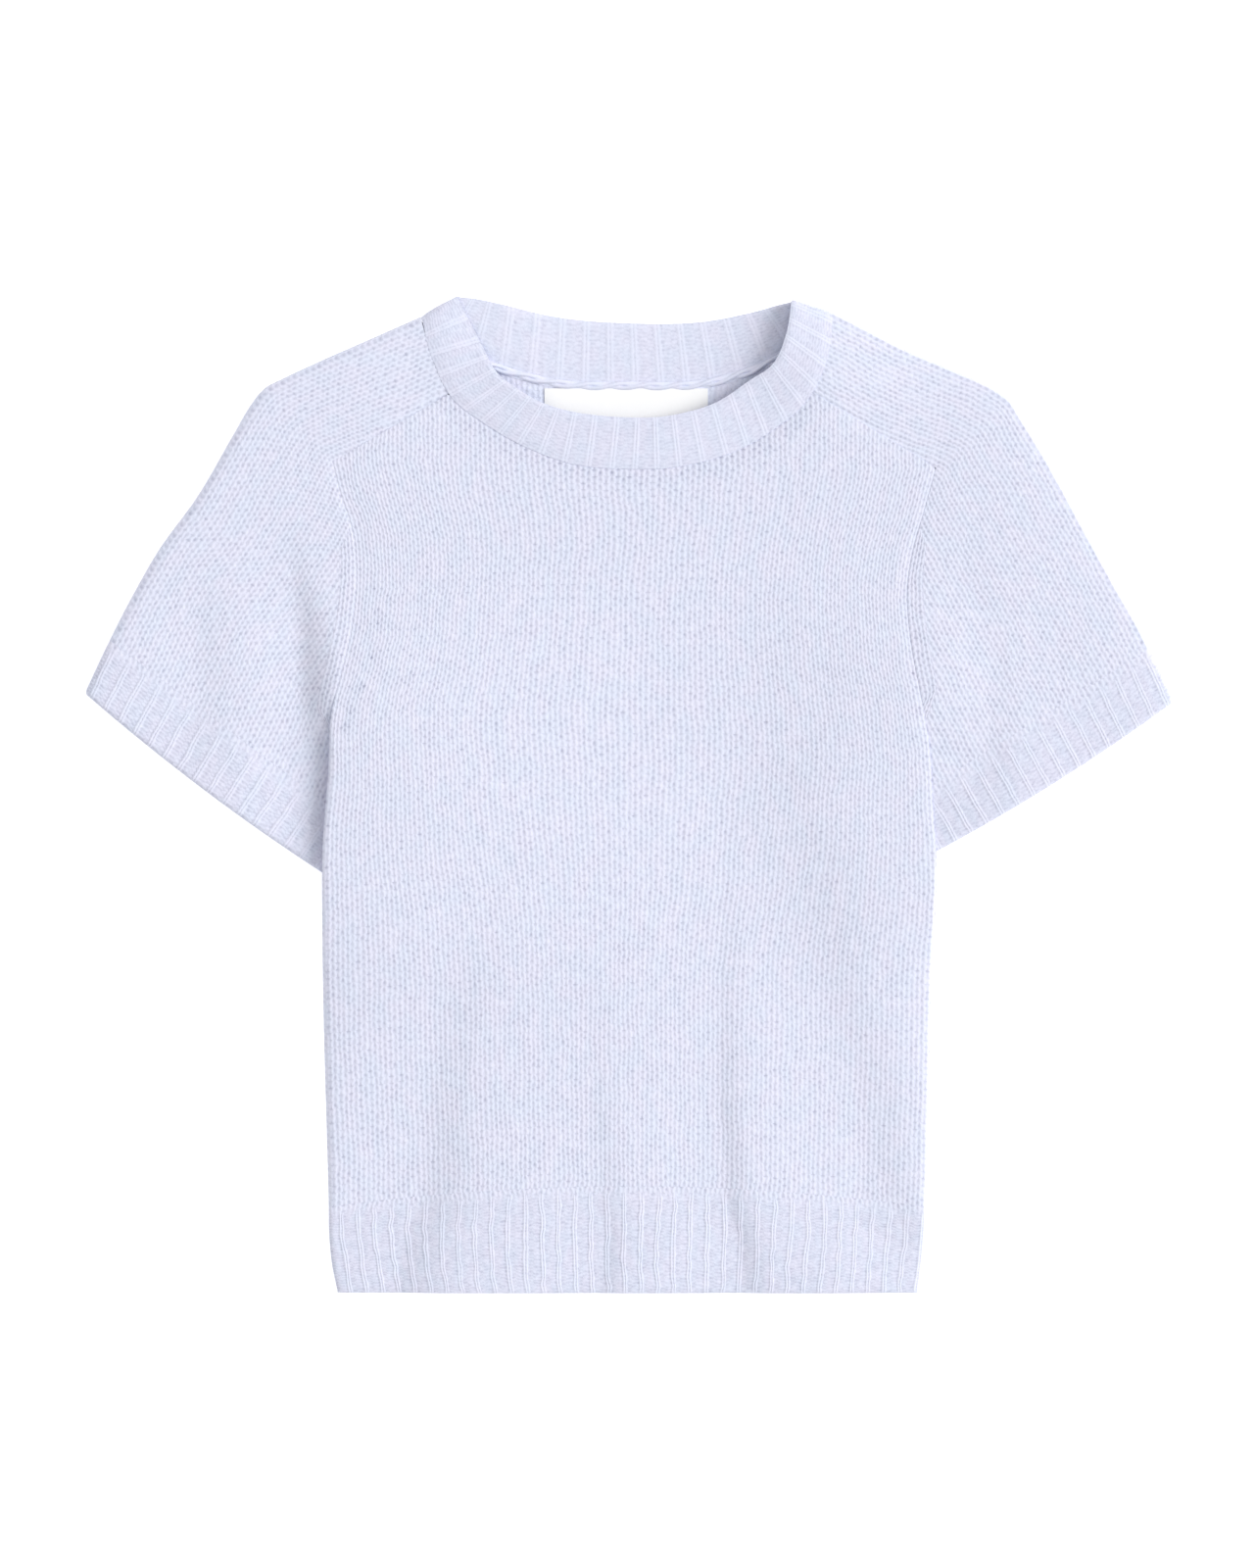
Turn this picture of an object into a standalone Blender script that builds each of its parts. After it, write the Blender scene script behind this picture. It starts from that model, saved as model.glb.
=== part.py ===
"""A short-sleeved knitted t-shirt with saddle shoulders, laid flat on its back.

Metres, +Z up. The shirt lies in the XY plane with its neck towards +Y and its flat underside on z = 0, so
each sleeve, the body and the neckband are flattened tubes: a lower layer on the surface and an upper layer
on it. The tables below are in millimetres, x and y from the middle of the shirt's outline.
"""

import bmesh
import bpy
import numpy as np

MM = 0.001

# Cloth
WALL = 2.6  # a thick, soft knit
BAND_WALL = 3.0  # the neckband is doubled over
SEAM = 0.3  # between two pieces that are sewn together
LAYER_GAP = 0.8  # between the lower and the upper layer where they lie closest
EDGE_INSET = 2.4  # how far in from a piece's edge its full thickness starts
EDGE_SHARE = 0.45  # of the thickness that is left at the edge itself
PANEL_SEAM = 1.5 * SEAM  # from the panels to the middle line of the neck seam, and to the armholes
SADDLE_SEAM = 2 * SEAM  # from the saddles to the middle line of the neck seam

# Ribbing: a narrow raised ridge between wide sunken columns
RIB_RISE = 1.2
RIB_PHASE = (0.0, 0.56, 0.66, 0.9)  # where its profile turns, in shares of one rib
RIB_SHARE = (0.0, 0.0, 1.0, 1.0)  # its height there
RIB_ENDS = (0.4, 1.0, 1.0, 1.0, 0.5)  # its height along a hem or a cuff, between its two edges
HEM_RIBS = 36
CUFF_RIBS = 17
RIB_FADE = (2.0, 8.0)  # the cuff's ribs are pressed flat on their way under the body
FRONT_NECK_RIBS = 25
BACK_NECK_RIBS = 16
HIDDEN_BACK_RIBS = (1.2, 2.6)  # the back ribs fade out between these, from each end, under the front ones

# Outline of the body, hem to shoulder
BODY_LEFT = (  # y, x
    (-304.5, -178.5), (-286.2, -182.1), (-268.8, -183.7), (-249.6, -184.0), (-197.4, -185.4),
    (-143.4, -186.9), (-83.4, -187.5), (-23.4, -186.9), (13.8, -183.9), (48.0, -182.1), (78.0, -174.9),
    (99.6, -170.1), (126.6, -167.1), (142.8, -167.1), (156.0, -168.3), (168.6, -171.3), (182.4, -176.1),
    (203.4, -181.5),
)
BODY_RIGHT = (  # y, x
    (-304.5, 176.7), (-280.8, 179.7), (-240.0, 182.1), (-197.4, 183.3), (-113.4, 185.1), (-34.2, 187.5),
    (-11.4, 185.7), (28.8, 183.3), (58.8, 178.5), (90.6, 172.5), (128.4, 170.1), (153.6, 174.3),
    (171.6, 179.7), (199.8, 187.5),
)
BODY_WIDTH = 370.0
PANEL_HEIGHT = 455.0  # from the hem's seam to the shoulder points
HEM_BOTTOM = -304.5
HEM_TOP_MIDDLE = -239.0
HEM_TOP_SIDE = -252.0
HEM_HEIGHT = 60.0

# The neckband, rib by rib: where it is sewn on, and its free edge
NECK_FRONT = (  # rib, seam x, seam y, edge x, edge y, rise of the edge over the seam
    (0.0, -128.1, 292.2, -105.9, 305.4, 3.0), (2.0, -120.9, 267.6, -91.0, 276.6, 4.0),
    (4.0, -108.9, 243.0, -81.3, 258.6, 4.6), (6.0, -88.5, 226.8, -66.9, 247.2, 4.8),
    (8.0, -65.7, 213.6, -51.3, 238.8, 4.6), (10.0, -37.5, 202.8, -31.5, 233.4, 4.2),
    (12.5, -1.5, 199.2, 0.9, 230.4, 4.0), (15.0, 32.7, 201.0, 28.5, 232.2, 4.6),
    (17.0, 61.5, 208.8, 52.5, 239.4, 5.6), (19.0, 85.5, 221.4, 72.9, 252.6, 7.0),
    (21.0, 107.7, 240.0, 87.9, 263.4, 8.6), (23.0, 120.3, 264.6, 95.7, 281.4, 9.6),
    (25.0, 125.1, 294.6, 99.3, 302.4, 8.0),
)
NECK_BACK = (  # rib, seam x, seam y, edge x, edge y, rise of the edge over the seam
    (0.0, 125.1, 294.6, 99.3, 302.4, 0.0), (2.6, 87.9, 267.6, 75.3, 295.2, 0.0),
    (4.6, 54.3, 255.6, 47.7, 289.8, 0.0), (8.0, 0.9, 252.6, -0.3, 288.6, 0.0),
    (11.4, -52.5, 255.6, -49.5, 293.2, 0.0), (13.4, -87.3, 266.4, -80.7, 300.6, 0.0),
    (16.0, -128.1, 292.2, -105.9, 305.4, 0.0),
)
FRONT_CORNER_RIB = (3.8, 21.5)  # where the saddles' front seams meet the neckband
BACK_CORNER_RIB = (2.6, 13.4)  # where their back seams do

# Outer fold of each sleeve, from the neckband over the shoulder point to the tip of the cuff
FOLD_LEFT = (  # x, y
    (-128.1, 292.2), (-157.5, 279.2), (-187.5, 266.0), (-211.5, 254.8), (-223.5, 248.4), (-231.9, 238.0),
    (-241.5, 221.6), (-265.8, 180.2), (-287.1, 151.0), (-305.4, 119.2), (-320.7, 89.0), (-333.3, 62.0),
)
FOLD_RIGHT = (  # x, y
    (125.1, 294.6), (142.5, 285.6), (168.3, 272.4), (195.9, 260.4), (221.7, 248.8), (232.2, 241.6),
    (240.9, 228.2), (251.4, 211.2), (284.7, 150.6), (297.6, 127.2), (310.2, 105.0), (333.3, 56.8),
)
SHOULDER_ROW = 4  # the row of the shoulder point in both
CUFF_END_LEFT = (-188.1, -46.2)  # where the cuff's edge meets the body's
CUFF_END_RIGHT = (186.3, -34.2)
CUFF_HEIGHT = 34.0
CUFF_SLANT = 2.0  # how much higher the cuff is along the fold
CUFF_BOW = 3.6  # how far the cuff's edge bows out from a straight line
ARMPIT_CLEAR = (1.0, 4.0)  # over the armpit: the sleeve's last section, and none other below

# Each sleeve's underarm passes under the side of the body. Heights are from the corner of the cuff.
TUCK = (  # y, how far under the body the sleeve reaches
    (-10.5, 14.0), (16.7, 33.0), (41.0, 27.0), (66.0, 14.0), (92.0, 0.0),
)
LIFT_Y = (158.0, 92.0, -18.0, -66.0)  # the body starts to lift, is up, starts to sink, is down
LIFT = 2 * WALL + LAYER_GAP + 0.5
DIP_RUN = (8.0, 30.0)  # beside the body, the sleeve is down at the first and at its own height at the second
LIFT_PRESS = 0.5  # how far the body's upper layer is drawn down on its lower one there
LIFT_CLEAR = 10.0  # how far past the sleeve's hidden edge the body stays lifted
LIFT_RUN = 28.0  # from there to where the body lies on the surface again

# How the upper layer stands off the lower one
PUFF_TOP = 3.6
PUFF_BELLY = 7.4  # over the hem ribbing, which draws the cloth in
PUFF_HEM = 4.6
BELLY_Y = (120.0, -190.0)
HEM_PINCH = 14.0  # how far below its top the ribbing starts to draw the layers together
EDGE_ROUND = 17.0  # how far in from a folded side the upper layer reaches its full height
CREASE_FADE = 0.45  # of its length, over which each crease deepens from its upper end
CREASES = (  # x, y at the top, x, y in the middle, x, y at the bottom, depth, width
    (-97.5, -50.0, -106.5, -173.0, -121.5, -290.0, 3.2, 13.0),
    (-20.0, -130.0, -17.0, -205.0, -10.5, -304.5, 3.4, 10.0),
    (55.0, -50.0, 64.5, -203.0, 78.0, -304.5, 4.0, 10.0),
    (108.0, 30.0, 137.0, -113.0, 172.0, -280.0, 3.4, 14.0),
    (-256.5, 140.0, -262.0, 80.0, -266.0, 22.0, 2.4, 13.0),
    (223.5, 150.0, 227.0, 80.0, 234.0, 10.0, 2.4, 13.0),
)

# Label under the back neck seam
LABEL_SIZE = (100.0, 44.0, 0.7)
LABEL_TOP = (-2.0, 248.6)

# How finely each piece is divided
PANEL_ROWS = 18
SADDLE_COLUMNS = 5
NECK_COLUMNS = 20
UPPER_COLUMNS = 11
LOWER_COLUMNS = 5
HEM_ROWS = 5
HEM_BACK_COLUMNS = 14
HIDDEN_SECTIONS = 4  # of a sleeve, between the armpit and its cuff
SADDLE_SHARES = (0.04, 0.36, 0.68, 0.96)  # from the neck seam to the shoulder point
CUFF_SHARES = (0.0, 0.08, 0.5, 0.92, 1.0)  # from the cuff's seam to its edge
SHOULDER_FAN = 6.0  # how far past the shoulder point the sleeve's first section starts

# Folds
TURN = 0.5  # inner radius of a sleeve's fold
TURN_ANGLES = np.radians([60.0, 20.0, -20.0, -60.0])

# Across the neckband, from its seam to its free edge
BAND_HEIGHT = 31.0
BAND_SHARE = (EDGE_SHARE, 1.0, 1.0, 0.6)  # of its thickness
BAND_RELIEF = (0.4, 1.0, 1.0, 0.3)  # of the ribs' rise
BAND_TURN_SEAM = 3.4  # between the middles of the band's two layers at a fold, on its seam
BAND_TURN_RIBS = 1.4  # over which the band draws in towards its folds
TANGENT_STEP = 0.05  # in ribs, to each side of a point whose direction is read

KNIT_COLOUR = (0.74, 0.77, 0.91, 1.0)
RIB_COLOUR = (0.71, 0.74, 0.89, 1.0)
LABEL_COLOUR = (0.93, 0.93, 0.92, 1.0)


def curve(table, at):
    """The table's columns after the first, on a smooth curve through its rows, at values of the first."""
    rows = np.array(table, float)
    key, values = rows[:, 0], rows[:, 1:]
    slopes = np.gradient(values, key, axis=0)
    at = np.clip(np.atleast_1d(at).astype(float), key[0], key[-1])
    left = np.clip(np.searchsorted(key, at, side="right") - 1, 0, len(key) - 2)
    run = (key[left + 1] - key[left])[:, None]
    t = (at - key[left])[:, None] / run
    return (
        (2 * t**3 - 3 * t**2 + 1) * values[left]
        + (t**3 - 2 * t**2 + t) * run * slopes[left]
        + (3 * t**2 - 2 * t**3) * values[left + 1]
        + (t**3 - t**2) * run * slopes[left + 1]
    )


def with_length(points):
    """A table of points with the length run along them as its first column."""
    points = np.array(points, float)
    steps = np.linalg.norm(np.diff(points, axis=0), axis=1)
    return np.column_stack([np.concatenate([[0.0], np.cumsum(steps)]), points])


def distance(x, y, line):
    """How far each point is from a polyline, and how far along it, as a share, its nearest point is."""
    line = with_length(line)
    here = np.stack([np.asarray(x, float), np.asarray(y, float)], axis=-1)
    best, share = np.full(here.shape[:-1], np.inf), np.zeros(here.shape[:-1])
    for (s0, *a), (s1, *b) in zip(line[:-1], line[1:]):
        a, b = np.array(a), np.array(b)
        t = np.clip((here - a) @ (b - a) / ((b - a) @ (b - a)), 0.0, 1.0)
        away = np.linalg.norm(here - (a + t[..., None] * (b - a)), axis=-1)
        share = np.where(away < best, (s0 + t * (s1 - s0)) / line[-1, 0], share)
        best = np.minimum(best, away)
    return best, share


def smooth(value, low, high):
    """0 up to low, 1 from high and a soft step between them."""
    t = np.clip((value - low) / (high - low), 0.0, 1.0)
    return t * t * (3 - 2 * t)


def body_edge(side, y):
    table = BODY_LEFT if side < 0 else BODY_RIGHT
    return curve(table, np.ravel(y))[:, 0].reshape(np.shape(y))


def over_corner(side, y):
    """Height above the corner of that side's cuff."""
    return y - (CUFF_END_LEFT if side < 0 else CUFF_END_RIGHT)[1]


def tuck(side, y):
    """How far under the body that sleeve reaches at this height."""
    return curve(TUCK, np.ravel(over_corner(side, y)))[:, 0].reshape(np.shape(y))


def under_arm(side, y):
    """0 above the armpit and 1 below it."""
    return smooth(-over_corner(side, y), -LIFT_Y[0], -LIFT_Y[1])


def lift(x, y):
    """How far the body lies above the surface, where a sleeve passes under it."""
    total = 0.0
    for side in (-1, 1):
        inward = (body_edge(side, y) - x) * side
        covered = tuck(side, y) + LIFT_CLEAR
        near = 1 - smooth(inward, covered, covered + LIFT_RUN)
        sinking = smooth(-over_corner(side, y), -LIFT_Y[2], -LIFT_Y[3])
        total = total + LIFT * under_arm(side, y) * (1 - sinking) * near
    return total


def creases(x, y):
    """The depth of the soft troughs that run down the shirt."""
    total = 0.0
    for x0, y0, x1, y1, x2, y2, depth, width in CREASES:
        away, along = distance(x, y, ((x0, y0), (x1, y1), (x2, y2)))
        total = total + depth * smooth(along, 0.0, CREASE_FADE) * np.exp(-((away / width) ** 2))
    return total


def puff(x, y):
    """How far the upper layer would stand off the lower one, away from the folded sides."""
    belly = smooth(-y, -BELLY_Y[0], -BELLY_Y[1])
    hem = smooth(-y, HEM_PINCH - HEM_TOP_MIDDLE, -HEM_BOTTOM)
    full = PUFF_TOP + (PUFF_BELLY - PUFF_TOP) * belly
    full = full + (PUFF_HEM - full) * hem
    return full - creases(x, y)


def roundness(away):
    """0 at a folded side and 1 where the layer is at its full height."""
    near = np.clip(1 - away / EDGE_ROUND, 0.0, 1.0)
    return np.sqrt(1 - near**2)


def upper_gap(x, y):
    """The space between the layers on the sleeves and shoulders, and on the body up to its sides."""
    away = np.minimum(distance(x, y, FOLD_LEFT)[0], distance(x, y, FOLD_RIGHT)[0])
    return LAYER_GAP + puff(x, y) * roundness(away)


def body_gap(x, y):
    """The same on the body, closing at its side seams below the armholes."""
    gap = upper_gap(x, y) - SEAM
    for side in (-1, 1):
        inward = np.maximum((body_edge(side, y) - x) * side, 0.0)
        gap = gap * (1 - under_arm(side, y) * (1 - roundness(inward)))
    return SEAM + gap * (1 - LIFT_PRESS * lift(x, y) / LIFT)


def sleeve_gap(x, y):
    """The same on a sleeve, closing where it goes under the body."""
    gap = upper_gap(x, y) - LAYER_GAP
    for side in (-1, 1):
        outward = (x - body_edge(side, y)) * side
        beside = (1 - smooth(outward, *DIP_RUN)) * (x * side > 0)
        gap = gap * (1 - under_arm(side, y) * beside)
    return LAYER_GAP + gap


def full_wall(rows, columns):
    """The thickness over a piece's grid, thinner round its edge."""
    wall = np.full((rows, columns), WALL)
    wall[0, :] = wall[-1, :] = WALL * EDGE_SHARE
    wall[:, 0] = wall[:, -1] = WALL * EDGE_SHARE
    return wall


def stations(length, count):
    """Shares of a length, even but for one close to each end, where the edge rounds off."""
    inset = EDGE_INSET / length
    return np.concatenate([[0.0], np.linspace(inset, 1 - inset, count - 2), [1.0]])


def material(name, colour):
    made = bpy.data.materials.new(name)
    made.use_nodes = True
    shader = made.node_tree.nodes["Principled BSDF"]
    shader.inputs["Base Color"].default_value = colour
    shader.inputs["Roughness"].default_value = 0.95
    shader.inputs["Metallic"].default_value = 0.0
    return made


def add_wall(name, inner, outer, finish, ring=False):
    """A closed wall between two grids of points, rows by columns. A ring joins its last row to its first."""
    rows, columns = inner.shape[:2]
    mesh = bpy.data.meshes.new(name)
    bm = bmesh.new()
    sides = [[[bm.verts.new(p * MM) for p in row] for row in grid] for grid in (inner, outer)]
    last = rows if ring else rows - 1
    for i in range(last):
        for j in range(columns - 1):
            for grid in sides:
                below, above = grid[i], grid[(i + 1) % rows]
                bm.faces.new((below[j], below[j + 1], above[j + 1], above[j]))
    inside, outside = sides
    for i in range(last):
        after = (i + 1) % rows
        for j in (0, columns - 1):
            bm.faces.new((inside[i][j], inside[after][j], outside[after][j], outside[i][j]))
    if not ring:
        for i in (0, rows - 1):
            for j in range(columns - 1):
                bm.faces.new((inside[i][j], inside[i][j + 1], outside[i][j + 1], outside[i][j]))
    bmesh.ops.triangulate(bm, faces=bm.faces[:])
    bmesh.ops.recalc_face_normals(bm, faces=bm.faces[:])
    bm.to_mesh(mesh)
    bm.free()
    made = bpy.data.objects.new(name, mesh)
    mesh.materials.append(finish)
    mesh.shade_smooth()
    SHIRT.objects.link(made)


def points(x, y, z):
    return np.stack(np.broadcast_arrays(x, y, z), axis=-1)


def neck_seam(table, ribs, away):
    """Points along the neck seam, moved out from the band by a distance."""
    seam = curve(table, ribs)
    ribs = np.asarray(ribs)
    run = (curve(table, ribs + TANGENT_STEP) - curve(table, ribs - TANGENT_STEP))[:, :2]
    run /= np.linalg.norm(run, axis=1)[:, None]
    outward = np.column_stack([run[:, 1], -run[:, 0]])
    outward *= np.sign(np.sum(outward * (seam[:, :2] - seam[:, 2:4]), axis=1))[:, None]
    return seam[:, :2] + outward * away


def top_edge(table, corner_ribs, saddle, neck):
    """A panel's top edge from left to right: a saddle seam, the neck seam and the other saddle seam."""
    middle = neck_seam(table, np.linspace(*corner_ribs, neck + 1), PANEL_SEAM)
    if middle[0, 0] > middle[-1, 0]:
        middle = middle[::-1]
    left = np.array([BODY_LEFT[-1][1], BODY_LEFT[-1][0]])
    right = np.array([BODY_RIGHT[-1][1], BODY_RIGHT[-1][0]])
    share = stations(np.linalg.norm(middle[0] - left), saddle + 2)[:-1, None]
    rising = left + share * (middle[0] - left)
    falling = right + share[::-1] * (middle[-1] - right)
    return np.concatenate([rising, middle, falling])


def hem_top(across):
    """Height of the hem's seam at shares of the body's width."""
    return HEM_TOP_MIDDLE + (HEM_TOP_SIDE - HEM_TOP_MIDDLE) * (2 * across - 1) ** 2


def panel_grid(top):
    """x and y of a panel's points, from the hem ribbing up to its top edge."""
    across = np.linspace(0.0, 1.0, len(top))
    across[1] = EDGE_INSET / BODY_WIDTH
    across[-2] = 1 - across[1]
    left_x, right_x = BODY_LEFT[-1][1], BODY_RIGHT[-1][1]
    at_top = (top[:, 0] - left_x) / (right_x - left_x)
    up = stations(PANEL_HEIGHT, PANEL_ROWS)[:, None]
    share = across + (at_top - across) * up
    bottom = hem_top(across) + SEAM
    y = bottom + (top[:, 1] - bottom) * up
    left, right = body_edge(-1, y), body_edge(1, y)
    return left + share * (right - left), y


def add_front_panel(finish):
    x, y = panel_grid(top_edge(NECK_FRONT, FRONT_CORNER_RIB, SADDLE_COLUMNS, NECK_COLUMNS))
    z = WALL + lift(x, y) + body_gap(x, y)
    add_wall("front_panel", points(x, y, z), points(x, y, z + full_wall(*x.shape)), finish)


def add_back_panel(finish):
    x, y = panel_grid(top_edge(NECK_BACK, BACK_CORNER_RIB, SADDLE_COLUMNS, NECK_COLUMNS))
    z = WALL + lift(x, y)
    add_wall("back_panel", points(x, y, z), points(x, y, z - full_wall(*x.shape)), finish)


def rib_stations(ribs):
    """Where each rib's profile turns, in ribs, and how high it is there."""
    phase = (np.arange(ribs)[:, None] + np.array(RIB_PHASE)).ravel()
    height = np.tile(RIB_SHARE, ribs)
    return np.append(phase, ribs), np.append(height, 0.0)


def hem_grid(across):
    """x and y of the points of the front or the back of the hem."""
    y = HEM_BOTTOM + (hem_top(across) - SEAM - HEM_BOTTOM) * stations(HEM_HEIGHT, HEM_ROWS)[:, None]
    left, right = body_edge(-1, y), body_edge(1, y)
    return left + across * (right - left), y


def add_hem_front(finish):
    phase, height = rib_stations(HEM_RIBS)
    x, y = hem_grid(phase / HEM_RIBS)
    z = WALL + body_gap(x, y)
    raised = RIB_RISE * height * np.array(RIB_ENDS)[:, None]
    add_wall("hem_front", points(x, y, z), points(x, y, z + full_wall(*x.shape) + raised), finish)


def add_hem_back(finish):
    x, y = hem_grid(np.linspace(0.0, 1.0, HEM_BACK_COLUMNS))
    add_wall("hem_back", points(x, y, WALL), points(x, y, WALL - full_wall(*x.shape)), finish)


def folded(front, back, fold, bow=(0.0, 0.0), ribs=0, raised=0.0):
    """The inner and outer points of one section of a tube that lies flat, and is open at one side.

    It runs from its front edge over the upper layer to the fold, and back along the lower layer. The
    outline is the outer face's, so the inner face turns a wall's thickness inside it. A bow gives the
    points to add along the upper and the lower layer.
    """
    front, back, fold = np.array(front), np.array(back), np.array(fold)
    width = np.linalg.norm(fold - front)
    out = (fold - front) / width
    turn = fold - out * (WALL + TURN)
    if ribs:
        phase, height = rib_stations(ribs)
        share = phase / ribs
    else:
        share = stations(width, UPPER_COLUMNS)
        height = np.zeros(len(share))
    upper = front + share[:, None] * (turn - front) + bow[0]
    gap = sleeve_gap(upper[:, 0], upper[:, 1])
    wall = np.full(len(share), WALL)
    wall[0] *= EDGE_SHARE
    inner = [points(upper[:, 0], upper[:, 1], WALL + gap)]
    side = np.sign(fold[0])
    bare = smooth((upper[:, 0] - body_edge(side, upper[:, 1])) * side, *RIB_FADE)
    outward = [points(0.0, 0.0, wall + RIB_RISE * raised * height * bare)]
    centre = np.array([*turn, WALL + gap[-1] / 2])
    for angle in TURN_ANGLES:
        way = np.array([*(out * np.cos(angle)), np.sin(angle)])
        inner.append((centre + way * (TURN, TURN, gap[-1] / 2))[None])
        outward.append((way * WALL)[None])
    down = np.full(LOWER_COLUMNS, -WALL)
    down[-1] *= EDGE_SHARE
    lower = turn + stations(width, LOWER_COLUMNS)[:, None] * (back - turn) + bow[1]
    inner.append(points(lower[:, 0], lower[:, 1], WALL))
    outward.append(points(0.0, 0.0, down))
    inner = np.concatenate(inner)
    return inner, inner + np.concatenate(outward)


def armhole_stations(side):
    """Heights of the panels' points down the armhole, then one at the armpit."""
    top = BODY_LEFT[-1][0] if side < 0 else BODY_RIGHT[-1][0]
    bottom = HEM_TOP_SIDE + SEAM
    rows = bottom + (top - bottom) * stations(PANEL_HEIGHT, PANEL_ROWS)[::-1]
    armpit = (CUFF_END_LEFT if side < 0 else CUFF_END_RIGHT)[1] + LIFT_Y[1] + ARMPIT_CLEAR[0]
    return np.append(rows[rows > armpit + ARMPIT_CLEAR[1]], armpit)


def cuff_frame(side):
    """A cuff's hidden end, its seam's hidden end, and the fold's lengths at its edge and at its seam."""
    fold = with_length(FOLD_LEFT if side < 0 else FOLD_RIGHT)
    tip = fold[-1, 1:]
    corner = np.array(CUFF_END_LEFT if side < 0 else CUFF_END_RIGHT)
    along = (corner - tip) / np.linalg.norm(corner - tip)
    end = corner + along * tuck(side, corner[1] + TUCK[0][0]) / abs(along[0])
    up = np.array([along[1], -along[0]]) * side
    return end, end + up * CUFF_HEIGHT, fold, fold[-1, 0], fold[-1, 0] - CUFF_HEIGHT - CUFF_SLANT


def bow_of(path):
    """How far a path departs from the straight line between its ends."""
    chord = path[-1] - path[0]
    share = (path - path[0]) @ chord / (chord @ chord)
    return path - path[0] - share[:, None] * chord


def neck_end_bow(side, front, fold):
    """The curve of the neck seam along a sleeve's upper and lower layer."""
    share = stations(np.linalg.norm(fold - front), UPPER_COLUMNS)
    fold_rib, corner_rib = (0.0, FRONT_CORNER_RIB[0]) if side < 0 else (FRONT_NECK_RIBS, FRONT_CORNER_RIB[1])
    upper = bow_of(neck_seam(NECK_FRONT, corner_rib + (fold_rib - corner_rib) * share, SEAM))
    share = stations(np.linalg.norm(fold - front), LOWER_COLUMNS)
    fold_rib, corner_rib = (BACK_NECK_RIBS, BACK_CORNER_RIB[1]) if side < 0 else (0.0, BACK_CORNER_RIB[0])
    lower = bow_of(neck_seam(NECK_BACK, fold_rib + (corner_rib - fold_rib) * share, SEAM))
    return upper, lower


def sleeve_sections(side):
    """Front, back and fold points of each section, from the neckband to the cuff."""
    edge = BODY_LEFT if side < 0 else BODY_RIGHT
    shoulder = np.array([edge[-1][1] + side * SEAM, edge[-1][0] + SEAM])
    front_rib, back_rib = (FRONT_CORNER_RIB[0], BACK_CORNER_RIB[1]) if side < 0 else (
        FRONT_CORNER_RIB[1], BACK_CORNER_RIB[0])
    clear = np.array([0.0, SEAM])
    neck_front = neck_seam(NECK_FRONT, [front_rib], SADDLE_SEAM)[0] + clear
    neck_back = neck_seam(NECK_BACK, [back_rib], SADDLE_SEAM)[0] + clear
    neck_fold = neck_seam(NECK_FRONT, [0.0 if side < 0 else FRONT_NECK_RIBS], SADDLE_SEAM)[0]
    _, seam_end, fold, _, seam_length = cuff_frame(side)
    corner_length = fold[SHOULDER_ROW, 0]
    sections = [(neck_front, neck_back, neck_fold, neck_end_bow(side, neck_front, neck_fold))]
    for share in SADDLE_SHARES:
        outer = curve(fold, share * corner_length)[0]
        front = neck_front + share * (shoulder - neck_front)
        back = neck_back + share * (shoulder - neck_back)
        sections.append((front, back, outer, (0.0, 0.0)))
    heights = armhole_stations(side)
    armhole = [(body_edge(side, y) + side * PANEL_SEAM, y) for y in heights]
    hidden = np.linspace(heights[-1], seam_end[1], HIDDEN_SECTIONS + 1)[1:]
    armhole += [(body_edge(side, y) - side * tuck(side, y), y) for y in hidden]
    inner = with_length(armhole)
    for length, *front in inner:
        share = (length + SHOULDER_FAN) / (inner[-1, 0] + SHOULDER_FAN)
        outer = curve(fold, corner_length + share * (seam_length - corner_length))[0]
        sections.append((np.array(front), np.array(front), outer, (0.0, 0.0)))
    return sections


def add_sleeve(name, side, finish):
    made = [folded(*section) for section in sleeve_sections(side)]
    add_wall(name, *(np.array(grid) for grid in zip(*made)), finish)


def add_cuff(name, side, finish):
    end, seam_end, fold, tip_length, seam_length = cuff_frame(side)
    down = (end - seam_end) / CUFF_HEIGHT
    upper = rib_stations(CUFF_RIBS)[0][:, None] / CUFF_RIBS
    lower = 1 - stations(np.linalg.norm(fold[-1, 1:] - end), LOWER_COLUMNS)[:, None]
    made = []
    for share, raised in zip(CUFF_SHARES, RIB_ENDS):
        front = seam_end + share * (end - seam_end)
        outer = curve(fold, seam_length + share * (tip_length - seam_length))[0]
        shift = down * PANEL_SEAM * (share == 0)
        bow = [down * 4 * CUFF_BOW * share * at * (1 - at) for at in (upper, lower)]
        made.append(folded(front + shift, front + shift, outer + shift, bow, CUFF_RIBS, raised))
    add_wall(name, *(np.array(grid) for grid in zip(*made)), finish)


def band_section(seam, edge, normal_at, raise_out, raise_in):
    """The inside and outside points of one section across the neckband, from its seam to its free edge."""
    middle = seam + stations(BAND_HEIGHT, len(BAND_SHARE))[:, None] * (edge - seam)
    half = BAND_WALL / 2 * np.array(BAND_SHARE)[:, None]
    relief = np.array(BAND_RELIEF)[:, None]
    outside = middle + normal_at * (half + raise_out * relief)
    inside = middle - normal_at * (half + raise_in * relief)
    return inside, outside


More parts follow.
